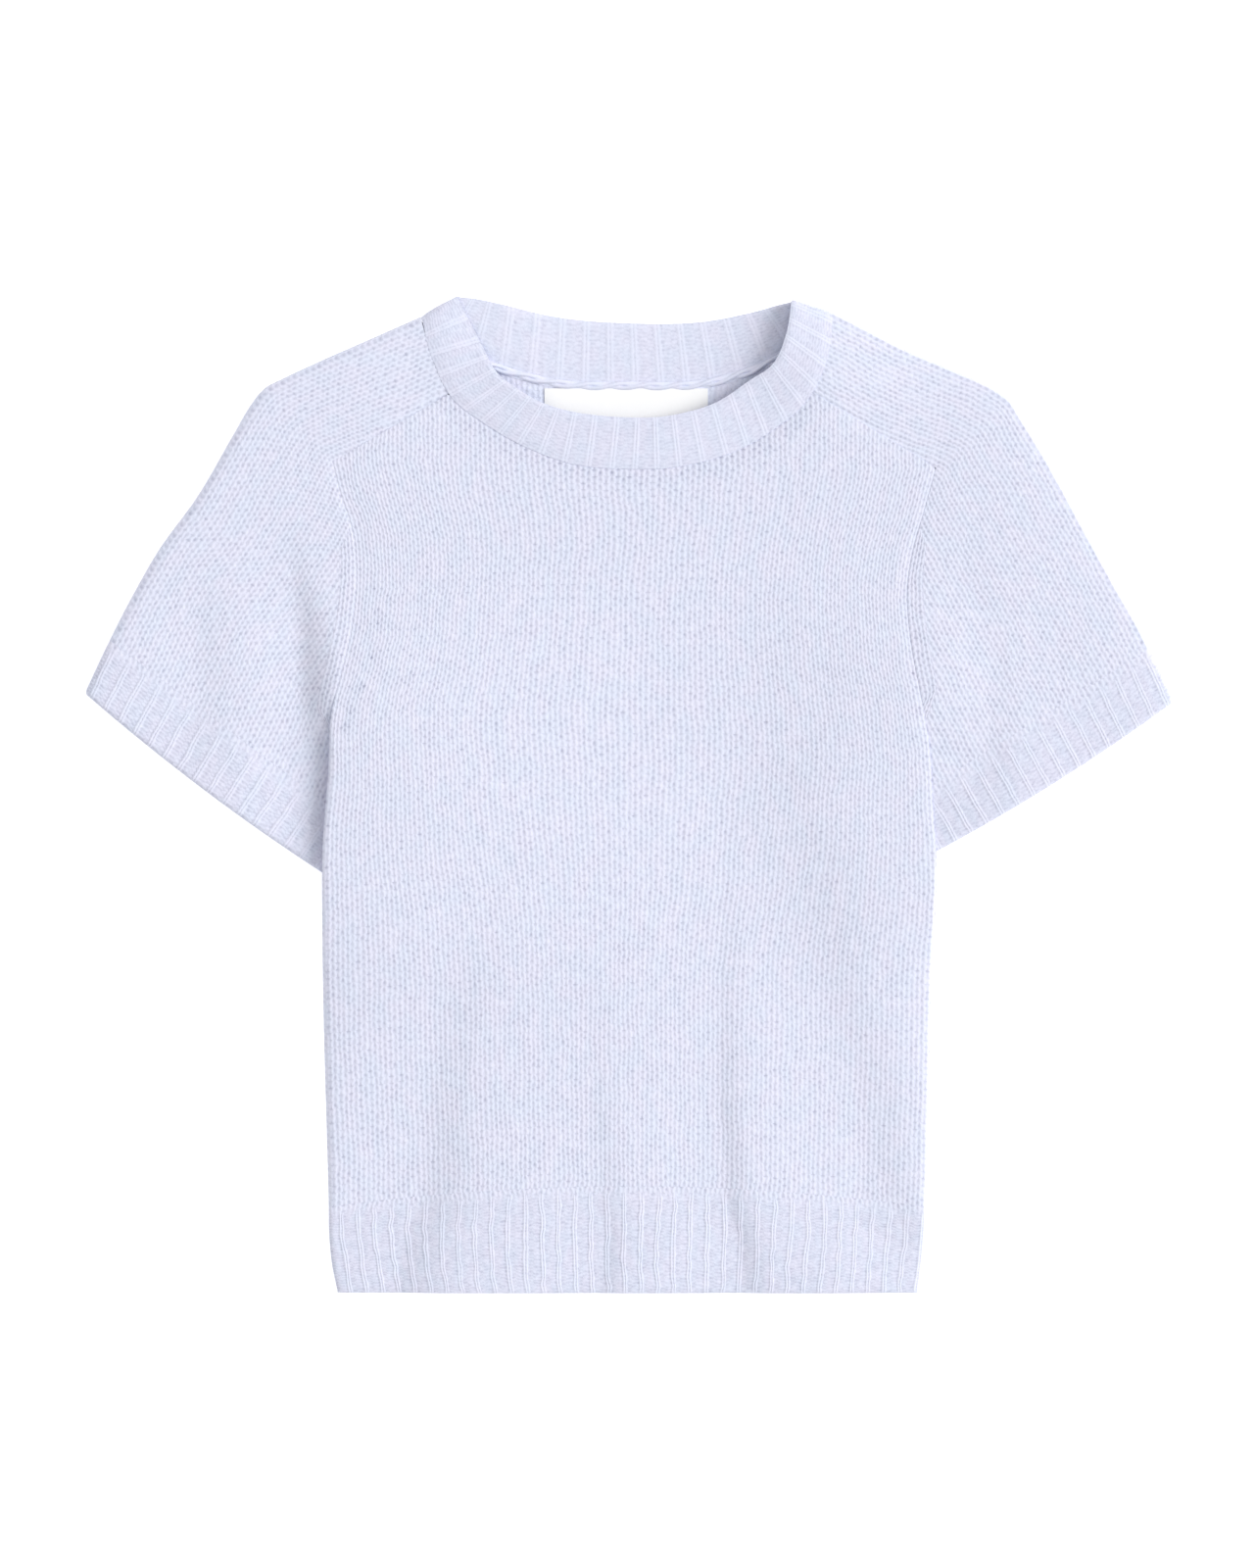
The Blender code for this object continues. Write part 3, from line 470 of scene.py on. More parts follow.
def neck_seam(table, ribs, away):
    """Points along the neck seam, moved out from the band by a distance."""
    seam = curve(table, ribs)
    ribs = np.asarray(ribs)
    run = (curve(table, ribs + TANGENT_STEP) - curve(table, ribs - TANGENT_STEP))[:, :2]
    run /= np.linalg.norm(run, axis=1)[:, None]
    outward = np.column_stack([run[:, 1], -run[:, 0]])
    outward *= np.sign(np.sum(outward * (seam[:, :2] - seam[:, 2:4]), axis=1))[:, None]
    return seam[:, :2] + outward * away


def hem_top(across):
    """Height of the hem's seam at shares of the body's width."""
    return HEM_TOP_MIDDLE + (HEM_TOP_SIDE - HEM_TOP_MIDDLE) * (2 * across - 1) ** 2


# Stitches


def wobble(x, y, size, seed):
    """Smooth noise from -1 to 1 that changes over such a distance."""
    knots = np.random.default_rng(seed).uniform(-1.0, 1.0, (NOISE_KNOTS, NOISE_KNOTS))
    x, y = np.broadcast_arrays(x / size, y / size)
    column, row = np.floor(x).astype(int), np.floor(y).astype(int)
    across, up = smooth(x - column, 0.0, 1.0), smooth(y - row, 0.0, 1.0)
    rows, columns = ([(first + k) % NOISE_KNOTS for k in (0, 1)] for first in (row, column))
    (a, b), (c, d) = [[knots[i, j] for j in columns] for i in rows]
    return (a * (1 - across) + b * across) * (1 - up) + (c * (1 - across) + d * across) * up


def unevenly(grid, away, more=1.0):
    """The grid's points moved a little within the cloth, by their distance away from its edges."""
    moved = grid.copy()
    hold = smooth(away, 0.0, UNEVEN[0][0]) * more
    for k in (0, 1):
        for seed, (size, reach) in enumerate(UNEVEN):
            moved[..., k] += hold * reach * wobble(grid[..., 0], grid[..., 1], size, 2 * seed + k)
    return moved


def stitch_relief(stitch):
    """Height of stocking stitch in mm at points given as wale and course."""
    u, v = np.moveaxis(stitch, -1, 0)
    side = np.where(u % 1.0 < 0.5, 1.0, -1.0)
    leaned = u + side * STITCH_SLANT * (2 * (v % 1.0) - 1)
    strands = -np.cos(4 * np.pi * leaned)
    holes = np.cos(2 * np.pi * leaned) * np.cos(2 * np.pi * v)
    luck = 1 + STITCH_LUCK * wobble(2 * u, v, 1.0, 7)
    return STITCH_RISE * luck * (strands + STITCH_LATTICE * holes) / (1 + STITCH_LATTICE)


def rib_relief(stitch):
    """Height of the ribbing in mm, over its sunken columns, at points given as rib and course."""
    u, v = np.moveaxis(stitch, -1, 0)
    ridge = np.interp(u % 1.0, *np.transpose(RIB))
    stagger = RIB_STAGGER[1] * (u % 1.0 < RIB_STAGGER[0])
    purl = (1 - smooth(ridge, *PURL_UNDER)) * np.cos(2 * np.pi * (v + stagger))
    luck = 1 + RIB_LUCK * wobble(u, v, 4.0, 9)
    return (RIB_RISE * luck * ridge + PURL_RISE * purl) * smooth(np.abs(v), *RIB_START)


def rib_columns(ribs):
    """The columns of a grid over some ribs, in ribs."""
    return np.append((np.arange(ribs)[:, None] + np.transpose(RIB)[0, :-1]).ravel(), ribs)


# Meshes


def add_object(name, data):
    made = bpy.data.objects.new(name, data)
    bpy.context.scene.collection.objects.link(made)
    return made


def merged(grid, number=0, place=0):
    """Where each different point of a grid is first, and the corners: the number and place of each point.

    The numbers and places are counted on from those given.
    """
    flat = grid.reshape(-1, 3)
    _, first, numbers = np.unique(np.round(flat, 4), axis=0, return_index=True, return_inverse=True)
    corners = np.column_stack([number + numbers.ravel(), place + np.arange(len(flat))])
    return first, corners.reshape(*grid.shape[:2], 2)


def joined(face):
    """A face's corners, once each where an edge is cut and they have come together."""
    return [corner for k, corner in enumerate(face) if corner[0] != face[k - 1][0]]


def faces_of(corners):
    """The faces of a grid."""
    near, far = slice(None, -1), slice(1, None)
    faces = np.stack([corners[turn] for turn in ((near, near), (near, far), (far, far), (far, near))], axis=2)
    return [joined(face) for face in faces.reshape(-1, 4, 2).tolist()]


def edge_of(rows, columns, ring):
    """Row and column of each point round a grid's edge, in order, as closed loops."""
    if ring:
        return [[(i, j) for i in range(rows)] for j in (0, columns - 1)]
    loop = [(0, j) for j in range(columns)]
    loop += [(i, columns - 1) for i in range(1, rows)]
    loop += [(rows - 1, j) for j in range(columns - 2, -1, -1)]
    loop += [(i, 0) for i in range(rows - 2, -1, -1)]
    return [loop]


def add_shell(name, inner, outer, stitch, finish, step=STEP, ring=False, hole_shade=None):
    """A closed shell with a fine outer face, and an inner face of every step-th row and column.

    The last argument says how much more painted shade than usual lies in its holes, from 0.
    """
    coarse = inner[::step, ::step]
    outer_first, outer_corners = merged(outer)
    inner_first, inner_corners = merged(coarse, len(outer_first), outer.size // 3)
    faces = faces_of(outer_corners) + faces_of(inner_corners)
    for loop in edge_of(*outer.shape[:2], ring):
        for start in range(0, len(loop) - 1, step):
            run = loop[start : start + step + 1]
            rim = [inner_corners[i // step, j // step] for i, j in (run[0], run[-1])]
            rim += [outer_corners[i, j] for i, j in reversed(run)]
            faces.append(joined([corner.tolist() for corner in rim]))
    faces = [face for face in faces if len(face) > 2]
    places = np.concatenate([outer.reshape(-1, 3)[outer_first], coarse.reshape(-1, 3)[inner_first]])
    stitches = np.concatenate([stitch.reshape(-1, 2), stitch[::step, ::step].reshape(-1, 2)])
    mesh = bpy.data.meshes.new(name)
    mesh.from_pydata((places * MM).tolist(), [], [[number for number, _ in face] for face in faces])
    layer = mesh.uv_layers.new(name="stitch")
    layer.data.foreach_set("uv", stitches[[place for face in faces for _, place in face]].ravel())
    hole_shade = np.zeros(outer.shape[:2]) if hole_shade is None else hole_shade
    hole_shade = np.concatenate([hole_shade.ravel()[outer_first], hole_shade[::step, ::step].ravel()[inner_first]])
    mesh.attributes.new("hole_shade", "FLOAT", "POINT").data.foreach_set("value", hole_shade)
    bm = bmesh.new()
    bm.from_mesh(mesh)
    bmesh.ops.recalc_face_normals(bm, faces=bm.faces[:])
    bm.to_mesh(mesh)
    bm.free()
    mesh.shade_smooth()
    mesh.set_sharp_from_angle(angle=np.radians(SHARP))
    mesh.materials.append(finish)
    return add_object(name, mesh)


def edged(away, share, run):
    """The share of the wall at a distance from an edge."""
    return share + (1 - share) * roundness(away, run)


def drawn_in(away, share, run):
    """The same beside a seam, with a gentle slope."""
    return 1 - (1 - share) * np.clip(1 - away / run, 0.0, 1.0) ** 2


def side_walls(x, y):
    """The share of the body's wall near its sides: a little less at the armholes, and rounded off below."""
    wall = 1.0
    for side in (-1, 1):
        away = np.maximum(inward(side, x, y), 0.0)
        sewn, free = drawn_in(away, *of_side(side, *ARMHOLE_EDGES)[0]), edged(away, *OPEN_EDGE)
        if side > 0:
            free = free + (drawn_in(away, *BESIDE_EDGE) - free) * smooth(over_corner(side, y), *BESIDE_FADE)
        wall = wall * (sewn + (free - sewn) * below_armpit(side, y))
    return wall


def whole_steps(count):
    """The next number of spaces that the inside's step divides."""
    return int(np.ceil(count / STEP) * STEP)


# The body


def top_line(table, corner_ribs):
    """A panel's top edge as x and y, left to right: a saddle seam, the neck seam, the other saddle seam."""
    middle = neck_seam(table, np.linspace(*corner_ribs, 80), 0.0)
    if middle[0, 0] > middle[-1, 0]:
        middle = middle[::-1]
    return np.array([BODY[0][-1][::-1], *middle, BODY[1][-1][::-1]])


def across_body(share, y):
    """x at shares of the body's width."""
    left = body_edge(-1, y)
    return left + share * (body_edge(1, y) - left)


def body_x(share, y):
    """x of a wale of the body at shares of its width."""
    fan = FAN[0] + (FAN[1] - FAN[0]) * smooth(y, *FAN_Y)
    return across_body(share + fan * np.sin(2 * np.pi * share) / (2 * np.pi), y)


def panel_points(table, corner_ribs, columns, rows_a_course):
    """x, y, wale and course of a panel's points, and how far each is from its top edge and from any."""
    share = np.linspace(0.0, 1.0, columns + 1)
    line = top_line(table, corner_ribs)
    top = np.full(len(share), line[0, 1])
    for _ in range(TOP_ROUNDS):
        top = np.interp(body_x(share, top), line[:, 0], line[:, 1])
    bottom = hem_top(share)
    level = line[:, 1].max()
    rows = whole_steps((level - HEM_TOP_MIDDLE) / COURSE * rows_a_course)
    course = (level - bottom) / rows
    y = bottom + np.arange(rows + 1)[:, None] * course
    y = np.where(y > top - SNAP, top, y)
    x = body_x(share, y)
    stitch = np.stack([share * BODY_WALES + 0 * y, (y - bottom) / course / rows_a_course], axis=-1)
    away = np.minimum(top - y, np.minimum(x - x[:, :1], x[:, -1:] - x))
    return x, y, stitch, top - y, away


def add_front(finish):
    columns = BODY_WALES * STITCH_COLUMNS
    x, y, stitch, below, away = panel_points(NECK_FRONT, FRONT_CORNER_RIB, columns, BODY_ROWS)
    inner = unevenly(points(x, y, WALL + lift(x, y) + body_gap(x, y)), np.minimum(away, y - y[0]))
    rise = WALL * side_walls(x, y) * drawn_in(below, *SEWN_EDGE)
    rise = rise + stitch_relief(stitch) * smooth(away, 0.0, SEWN_EDGE[1])
    seam = neck_seam(NECK_FRONT, np.linspace(*FRONT_CORNER_RIB, 40), 0.0)
    # More painted shade in the holes under the neck seam and at the shaping marks
    hole_shade = NECK_HOLE_SHADE[0] * (1 - smooth(distance(x, y, seam), *NECK_HOLE_SHADE[1:]))
    for place in SHAPING:
        hole_shade = hole_shade + SHAPING_HOLE_SHADE[0] * hill(x, y, *place, SHAPING_HOLE_SHADE[1])
    return add_shell("front_knit", inner, inner + points(0.0, 0.0, rise), stitch, finish, hole_shade=hole_shade)


def add_back(finish):
    x, y, stitch, _, _ = panel_points(NECK_BACK, BACK_CORNER_RIB, BODY_WALES * 2, 1)
    z = WALL + lift(x, y)
    low = points(x, y, z - WALL * side_walls(x, y))
    # Less painted shade inside the neck, which paints the back panel lighter there
    hole_shade = BACK_HOLE_SHADE * smooth(y, *BACK_HOLE_SHADE_Y)
    return add_shell("back_knit", low, points(x, y, z), stitch, finish, 2, hole_shade=hole_shade)


def hem_points(across, rows):
    y = HEM_BOTTOM + (hem_top(across) - HEM_BOTTOM) * np.linspace(0.0, 1.0, rows + 1)[:, None]
    return across_body(across, y), y


def add_hem_front(finish):
    ribs = rib_columns(HEM_RIBS)
    rows = whole_steps((HEM_TOP_MIDDLE - HEM_BOTTOM) / RIB_COURSE * RIB_ROWS)
    x, y = hem_points(ribs / HEM_RIBS, rows)
    stitch = points(ribs, np.arange(-rows, 1)[:, None] / RIB_ROWS)
    away = np.minimum(np.minimum(y - HEM_BOTTOM, y[-1] - y), np.minimum(x - x[:, :1], x[:, -1:] - x))
    inner = unevenly(points(x, y, WALL + body_gap(x, y)), away, HEM_UNEVEN)
    rise = WALL * side_walls(x, y) * edged(y - HEM_BOTTOM, *OPEN_EDGE)
    rise = rise + rib_relief(stitch) * smooth(y - HEM_BOTTOM, *RIB_END)
    return add_shell("hem_front_knit", inner, inner + points(0.0, 0.0, rise), stitch, finish)


def add_hem_back(finish):
    x, y = hem_points(np.linspace(0.0, 1.0, HEM_RIBS + 1), HEM_BACK_ROWS)
    stitch = points(np.arange(HEM_RIBS + 1), np.arange(-HEM_BACK_ROWS, 1)[:, None] * 2.0)
    wall = WALL * side_walls(x, y) * edged(y - HEM_BOTTOM, *OPEN_EDGE)
    return add_shell("hem_back_knit", points(x, y, WALL - wall), points(x, y, WALL + 0 * x), stitch, finish)


# The sleeves


def fold_of(side):
    return with_length(of_side(side, *FOLD))


def cuff_frame(side):
    """A cuff's hidden end, its seam's hidden end, and the fold's lengths at its edge and at its seam."""
    fold = fold_of(side)
    tip = fold[-1, 1:]
    corner = np.array(of_side(side, *CUFF_END))
    along = (corner - tip) / np.linalg.norm(corner - tip)
    end = corner + along * tuck(side, corner[1] + TUCK[0][0]) / abs(along[0])
    up = np.array([along[1], -along[0]]) * side
    return end, end + up * CUFF_HEIGHT, fold[-1, 0], fold[-1, 0] - CUFF_HEIGHT - CUFF_SLANT


def bow_of(path):
    """How far a path departs from the straight line between its ends."""
    chord = path[-1] - path[0]
    share = (path - path[0]) @ chord / (chord @ chord)
    return path - path[0] - share[:, None] * chord


def neck_bow(table, corner_rib, fold_rib, share):
    """The curve of the neck seam between a saddle's corner and its fold, at shares of that way."""
    at = np.linspace(0.0, 1.0, 24)
    bow = bow_of(neck_seam(table, corner_rib + (fold_rib - corner_rib) * at, 0.0))
    return np.column_stack([np.interp(share, at, bow[:, k]) for k in (0, 1)])


def folded(front, back, fold, bow, from_edge, away, lower):
    """One section of a tube that lies flat: its inner points and the ways out of its wall, then how far each
    is round from the fold, and from the edge of its own run of wales and from the tube's edge.

    from_edge gives the first points by their distance from the edge, and away the others of the upper layer
    by theirs from the fold. lower has the shares of the lower layer. bow moves the points of layer 0, the
    upper one, and of layer 1.
    """
    width = np.linalg.norm(fold - front)
    out = (fold - front) / width
    turn = fold - out * (WALL + TURN)
    full = np.linalg.norm(turn - front)
    most = full - from_edge[-1]
    away = np.where(away > most - SNAP, most, away)
    own_edge = np.concatenate([np.minimum(from_edge, from_edge[-1] - from_edge), most - away])
    away = np.concatenate([full - from_edge, away])
    upper = turn - out * away[:, None]
    under = turn + lower[:, None] * (back - turn)
    if bow:
        upper = upper + bow(0, 1 - away / full)
        under = under + bow(1, 1 - lower)
    gap = sleeve_gap(upper[:, 0], upper[:, 1])
    centre = np.array([*turn, WALL + gap[-1] / 2])
    ways = np.array([[*(out * np.cos(angle)), np.sin(angle)] for angle in TURN_ANGLES])
    turned = centre + ways * np.array([TURN, TURN, gap[-1] / 2])
    inner = np.concatenate([points(upper[:, 0], upper[:, 1], WALL + gap), turned,
                            points(under[:, 0], under[:, 1], WALL)])
    outward = np.concatenate([np.tile(UP, (len(upper), 1)), ways, np.tile(-UP, (len(under), 1))])
    arc = (WALL + TURN) * (TURN_ANGLES[0] - TURN_ANGLES)
    beyond = np.concatenate([away, -arc, -arc[-1] - lower * np.linalg.norm(back - turn)])
    edge = np.concatenate([full - away, np.full(len(ways), width), (1 - lower) * width])
    own_edge = np.concatenate([own_edge, edge[len(away):]])
    return inner, outward, beyond, own_edge, edge


def lower_shares(upper):
    """The shares of a tube's lower layer, for so many columns on the upper one."""
    others = upper + len(TURN_ANGLES)
    return np.linspace(0.0, 1.0, whole_steps(others + LOWER_COLUMNS) + 1 - others)


def outside_of(inner, outward, wall, relief):
    """The outer points of a tube's wall, with the relief only on what faces up."""
    return inner + outward * (wall + relief * np.clip(2 * outward[..., 2], 0.0, 1.0))[..., None]


def armhole_path(side):
    """The sleeve's inner edge with its length: down the armhole, and then hidden under the body."""
    top = of_side(side, *BODY)[-1][0]
    armpit = of_side(side, *CUFF_END)[1] + ARMPIT[0]
    shown = [(float(body_edge(side, y)), y) for y in np.linspace(top, armpit, 90)]
    end = cuff_frame(side)[1]
    hidden = [(float(body_edge(side, y)) - side * float(tuck(side, y)), y)
              for y in np.linspace(armpit, end[1], 40)[1:-1]]
    return with_length(shown + hidden + [tuple(end)])


def sleeve_sections(side):
    """Front, back and fold points of each row of a sleeve, from the neckband to the cuff, and its bow."""
    shoulder = np.array(of_side(side, *BODY)[-1][::-1])
    seams = ((NECK_FRONT, of_side(side, *FRONT_CORNER_RIB), of_side(side, 0.0, FRONT_NECK_RIBS)),
             (NECK_BACK, of_side(side, *BACK_CORNER_RIB[::-1]), of_side(side, BACK_NECK_RIBS, 0.0)))
    corners = [neck_seam(table, [corner_rib], 0.0)[0] for table, corner_rib, _ in seams]
    fold = fold_of(side)
    shoulder_length, seam_length = fold[SHOULDER_ROW, 0], cuff_frame(side)[3]
    row = COURSE / SLEEVE_ROWS
    saddle_rows = int(shoulder_length / row)
    sections = []
    for share in np.linspace(0.0, 1.0, saddle_rows + 1)[:-1]:
        outer = curve(fold, share * shoulder_length)[0]
        curved = max(0.0, 1 - share * shoulder_length / NECK_BOW_RUN)

        def bow(layer, at, curved=curved):
            return curved * neck_bow(*seams[layer], at)

        front, back = (corner + share * (shoulder - corner) for corner in corners)
        sections.append((front, back, outer, bow))
    inner = armhole_path(side)
    arm_rows = whole_steps(saddle_rows + (seam_length - shoulder_length) / row) - saddle_rows
    for at in np.linspace(0.0, 1.0, arm_rows + 1):
        length = at * inner[-1, 0]
        share = (length + SHOULDER_FAN) / (inner[-1, 0] + SHOULDER_FAN)
        outer = curve(fold, shoulder_length + share * (seam_length - shoulder_length))[0]
        front = np.array([np.interp(length, inner[:, 0], inner[:, k]) for k in (1, 2)])
        sections.append((front, front, outer, None))
    return sections


def sleeve_courses(side, x, y):
    """The course at each point of a sleeve, square to its saddle and then to its arm."""
    fold = np.array(of_side(side, *FOLD))
    corner = fold[SHOULDER_ROW]
    x, y = x - corner[0], y - corner[1]
    ways = (corner - fold[0], fold[-1] - corner)
    saddle, arm = ((x * way[0] + y * way[1]) / np.hypot(*way) for way in ways)
    return (saddle + (arm - saddle) * smooth(saddle + arm, -SHOULDER_RUN, SHOULDER_RUN)) / COURSE


def add_sleeve(name, side, finish):
    sections = sleeve_sections(side)
    widest = max(np.linalg.norm(fold - front) for front, _, fold, _ in sections)
    away = np.arange(int(widest / WALE * STITCH_COLUMNS) + 1, -1, -1) * WALE / STITCH_COLUMNS
    strip = np.linspace(0.0, 1.0, SEAM_STRIP_COLUMNS + 1)
    lower = lower_shares(len(strip) + len(away))
    made = []
    for front, back, fold, bow in sections:
        shown = SEAM_STRIP * smooth(front[1], *SEAM_STRIP_Y)
        made.append(folded(front, back, fold, bow, strip * shown, away, lower))
    inner, outward, beyond, own_edge, edge = (np.array(grid) for grid in zip(*made))
    run = np.linalg.norm(np.diff(inner[..., :2], axis=0), axis=-1)
    along = np.concatenate([np.zeros((1, run.shape[1])), np.cumsum(run, axis=0)])
    in_strip = np.arange(beyond.shape[1]) < len(strip)
    course = np.where(in_strip, along / COURSE, sleeve_courses(side, inner[..., 0], inner[..., 1]))
    stitch = np.stack([np.where(in_strip, edge, beyond) / WALE, course], axis=-1)
    relief = stitch_relief(stitch) * smooth(own_edge, 0.0, SEWN_EDGE[1])
    rows = np.arange(len(made))[:, None] * COURSE / SLEEVE_ROWS
    inner = unevenly(inner, np.minimum(own_edge, np.minimum(rows, rows[::-1])) * (beyond > 0))
    outer = outside_of(inner, outward, WALL * drawn_in(edge, *of_side(side, *ARMHOLE_EDGES)[1]), relief)
    # More painted shade in the holes of the seam strip
    hole_shade = STRIP_HOLE_SHADE * in_strip * smooth(edge, 0.0, SEWN_EDGE[1]) * (edge < SEAM_STRIP)
    return add_shell(name, inner, outer, stitch, finish, hole_shade=hole_shade)


def add_cuff(name, side, finish):
    end, seam_end, tip_length, seam_length = cuff_frame(side)
    fold = fold_of(side)
    down = (end - seam_end) / CUFF_HEIGHT
    ribs = rib_columns(CUFF_RIBS)
    rows = whole_steps(CUFF_HEIGHT / RIB_COURSE * RIB_ROWS)
    lower = lower_shares(len(ribs) + 1)
    made = []
    for share in np.linspace(0.0, 1.0, rows + 1):
        front = seam_end + share * (end - seam_end)
        outer = curve(fold, seam_length + share * (tip_length - seam_length))[0]
        width = np.linalg.norm(outer - front) - WALL - TURN

        def bow(layer, at, share=share):
            return down * (4 * CUFF_BOW * share * at * (1 - at))[:, None]

        away = width * (1 - ribs / CUFF_RIBS)
        made.append(folded(front, front, outer, bow, np.zeros(1), away, lower))
    inner, outward, beyond, _, edge = (np.array(grid) for grid in zip(*made))
    past_fold = CUFF_RIBS + PAST_FOLD * np.arange(1, len(TURN_ANGLES) + len(lower) + 1)
    across = np.concatenate([[0.0], ribs, past_fold])
    stitch = points(across, np.arange(rows + 1)[:, None] / RIB_ROWS)
    bare = smooth(-inward(side, inner[..., 0], inner[..., 1]), *RIB_FADE)
    free = CUFF_HEIGHT * (1 - np.linspace(0.0, 1.0, rows + 1))[:, None]
    inner = unevenly(inner, np.minimum(np.minimum(free, free[::-1]), edge) * (beyond > 0))
    wall = WALL * drawn_in(edge, *SEWN_EDGE) * edged(free, *OPEN_EDGE)
    outer = outside_of(inner, outward, wall, rib_relief(stitch) * bare * smooth(free, *RIB_END))
    return add_shell(name, inner, outer, stitch, finish)


# The neckband


def fold_outward(row):
    """The direction in which the neckband's fold faces."""
    run = row[2:4] - row[:2]
    out = np.array([-run[1], run[0]]) / np.linalg.norm(run)
    return out if out[1] > 0 else -out


def band_arc(table, front):
    """Seam point, edge point and rib share of each section along the front or the back of the band."""
    count = FRONT_NECK_RIBS if front else BACK_NECK_RIBS
    ribs = rib_columns(count)
    rows = curve(table, ribs)
    seam, edge, rise = rows[:, :2].copy(), rows[:, 2:4].copy(), rows[:, 4]
    rise = rise if front else np.maximum(rise, 0.0)
    for fold_rib in (0.0, float(count)):
        near = 1 - smooth(np.abs(ribs - fold_rib), 0.0, BAND_TURN_RIBS)
        at_fold = curve(table, fold_rib)[0]
        out = fold_outward(at_fold)
        seam -= near[:, None] * out * (BAND_WALL / 2 + BAND_TURN)
        edge -= near[:, None] * out * BAND_WALL / 2 * BAND_SHARE[-1]
    if front:
        low = WALL + upper_gap(seam[:, 0], seam[:, 1]) + BAND_WALL / 2 + SEAM
        raised = np.ones(len(ribs))
    else:
        low = np.full(len(ribs), BAND_WALL / 2)
        raised = smooth(np.minimum(ribs, count - ribs), *HIDDEN_BACK_RIBS)
    return points(*seam.T, low), points(*edge.T, low + rise), ribs, raised


def arc_end(arc, k):
    """The seam point and the edge point at one of its ends."""
    return [line[k] for line in arc[:2]]


def band_stitch(rib, share):
    """Rib and course across the neckband, past the courses that are like stocking stitch."""
    return points(rib, RIB_START[1] + share * BAND_HEIGHT / RIB_COURSE)


def band_section(seam, edge, normal, rib, raise_out, raise_in, share, thin=1.0):
    """The inside and outside points of one section across the neckband, from its seam to its free edge.

    thin is how thick its free edge is, against the usual.
    """
    middle = seam + share[:, None] * (edge - seam)
    half = BAND_WALL / 2 * np.interp(share, BAND_AT, BAND_SHARE)
    half = half * (1 + (thin - 1) * smooth(share, *BAND_SOFT_RUN))
    relief = np.interp(share, BAND_AT, BAND_RELIEF)
    relief = relief * rib_relief(band_stitch(rib, share))
    outside = middle + normal * (half + raise_out * relief)[:, None]
    inside = middle - normal * (half + raise_in * relief)[:, None]
    return inside, outside


def fold_sections(front_ends, back_ends, row, share, thin):
    """Sections round one of the neckband's two folds, between the ends of its front and of its back."""
    out = np.array([*fold_outward(np.array(row[1:])), 0.0])
    made = []
    for angle in TURN_ANGLES:
        ends = []
        for front, back, turn in zip(front_ends, back_ends, (BAND_TURN, 0.0)):
            reach = out * np.cos(angle) * turn + UP * np.sin(angle) * (front[2] - back[2]) / 2
            ends.append((front + back) / 2 + reach)
        normal = out * np.cos(angle) + UP * np.sin(angle)
        made.append(band_section(*ends, normal, 0.0, 0.0, 0.0, share, thin))
    return made


def band_thin(ribs_from_left):
    """How thick the band's free edge is near its left fold, against the usual."""
    return BAND_SOFT_SHARE + (1 - BAND_SOFT_SHARE) * float(smooth(ribs_from_left, *BAND_SOFT))


def add_neckband(finish):
    front, back = band_arc(NECK_FRONT, True), band_arc(NECK_BACK, False)
    share = np.linspace(0.0, 1.0, whole_steps(BAND_HEIGHT / RIB_COURSE * RIB_ROWS) + 1)
    sections, across = [], []
    for seam, edge, rib, raised in zip(*front):
        run = edge - seam
        normal = UP - run * (run @ UP) / (run @ run)
        normal /= np.linalg.norm(normal)
        sections.append(band_section(seam, edge, normal, rib, raised, 0.0, share, band_thin(rib)))
        across.append(rib)
    turn = fold_sections(arc_end(front, -1), arc_end(back, 0), NECK_FRONT[-1], share, 1.0)
    sections += turn
    across += [FRONT_NECK_RIBS] * len(turn)
    for seam, edge, rib, raised in zip(*back):
        thin = band_thin(BACK_NECK_RIBS - rib)
        sections.append(band_section(seam, edge, -UP, rib, 0.0, raised * BACK_RELIEF, share, thin))
        across.append(FRONT_NECK_RIBS + rib)
    turn = fold_sections(arc_end(front, 0), arc_end(back, -1), NECK_FRONT[0], share, band_thin(0.0))
    sections += [*turn[::-1], sections[0]]
    across += [FRONT_NECK_RIBS + BACK_NECK_RIBS] * (len(turn) + 1)
    inside, outside = (np.array(grid) for grid in zip(*sections))
    rib = np.array(across)[:, None]
    from_fold = np.minimum(rib, np.abs(rib - FRONT_NECK_RIBS))
    # Painted shade in the band's holes, more at its folds
    hole_shade = np.where(rib <= FRONT_NECK_RIBS, *BAND_HOLE_SHADE) + 0 * share
    hole_shade = hole_shade + BAND_END_HOLE_SHADE[0] * (1 - smooth(from_fold, *BAND_END_HOLE_SHADE[1:]))
    return add_shell("neckband_knit", inside, outside, band_stitch(rib, share), finish, 1, True, hole_shade)


def add_chain(finish):
    """Two strands of yarn that twist round each other along the back neck seam."""
    ribs = np.linspace(*CHAIN_RIBS, 321)
    path = with_length(neck_seam(NECK_BACK, ribs, CHAIN_AWAY))
    side = neck_seam(NECK_BACK, ribs, CHAIN_AWAY + 1.0) - path[:, 1:]
    across = np.linspace(-CHAIN_WIDTH / 2, CHAIN_WIDTH / 2, 13)
    turn = 2 * np.pi * path[:, 0] / CHAIN_PITCH
    height = np.zeros((len(path), len(across)))
    for phase in (0.0, np.pi):
        centre = (CHAIN_WIDTH / 2 - CHAIN_STRAND) * np.sin(turn + phase)[:, None]
        raised = np.sqrt(np.maximum(CHAIN_STRAND**2 - (across - centre) ** 2, 0.0))
        height = np.maximum(height, raised * (1 + CHAIN_SWING * np.cos(turn + phase)[:, None]))
    flat = path[:, None, 1:] + side[:, None, :] * across[:, None]
    low = points(flat[..., 0], flat[..., 1], WALL)
    stitch = points(CHAIN_PHASE + 0 * across, RIB_START[1] + path[:, :1])
    return add_shell("neck_chain", low, low + points(0.0, 0.0, height + SEAM), stitch, finish)


# The label


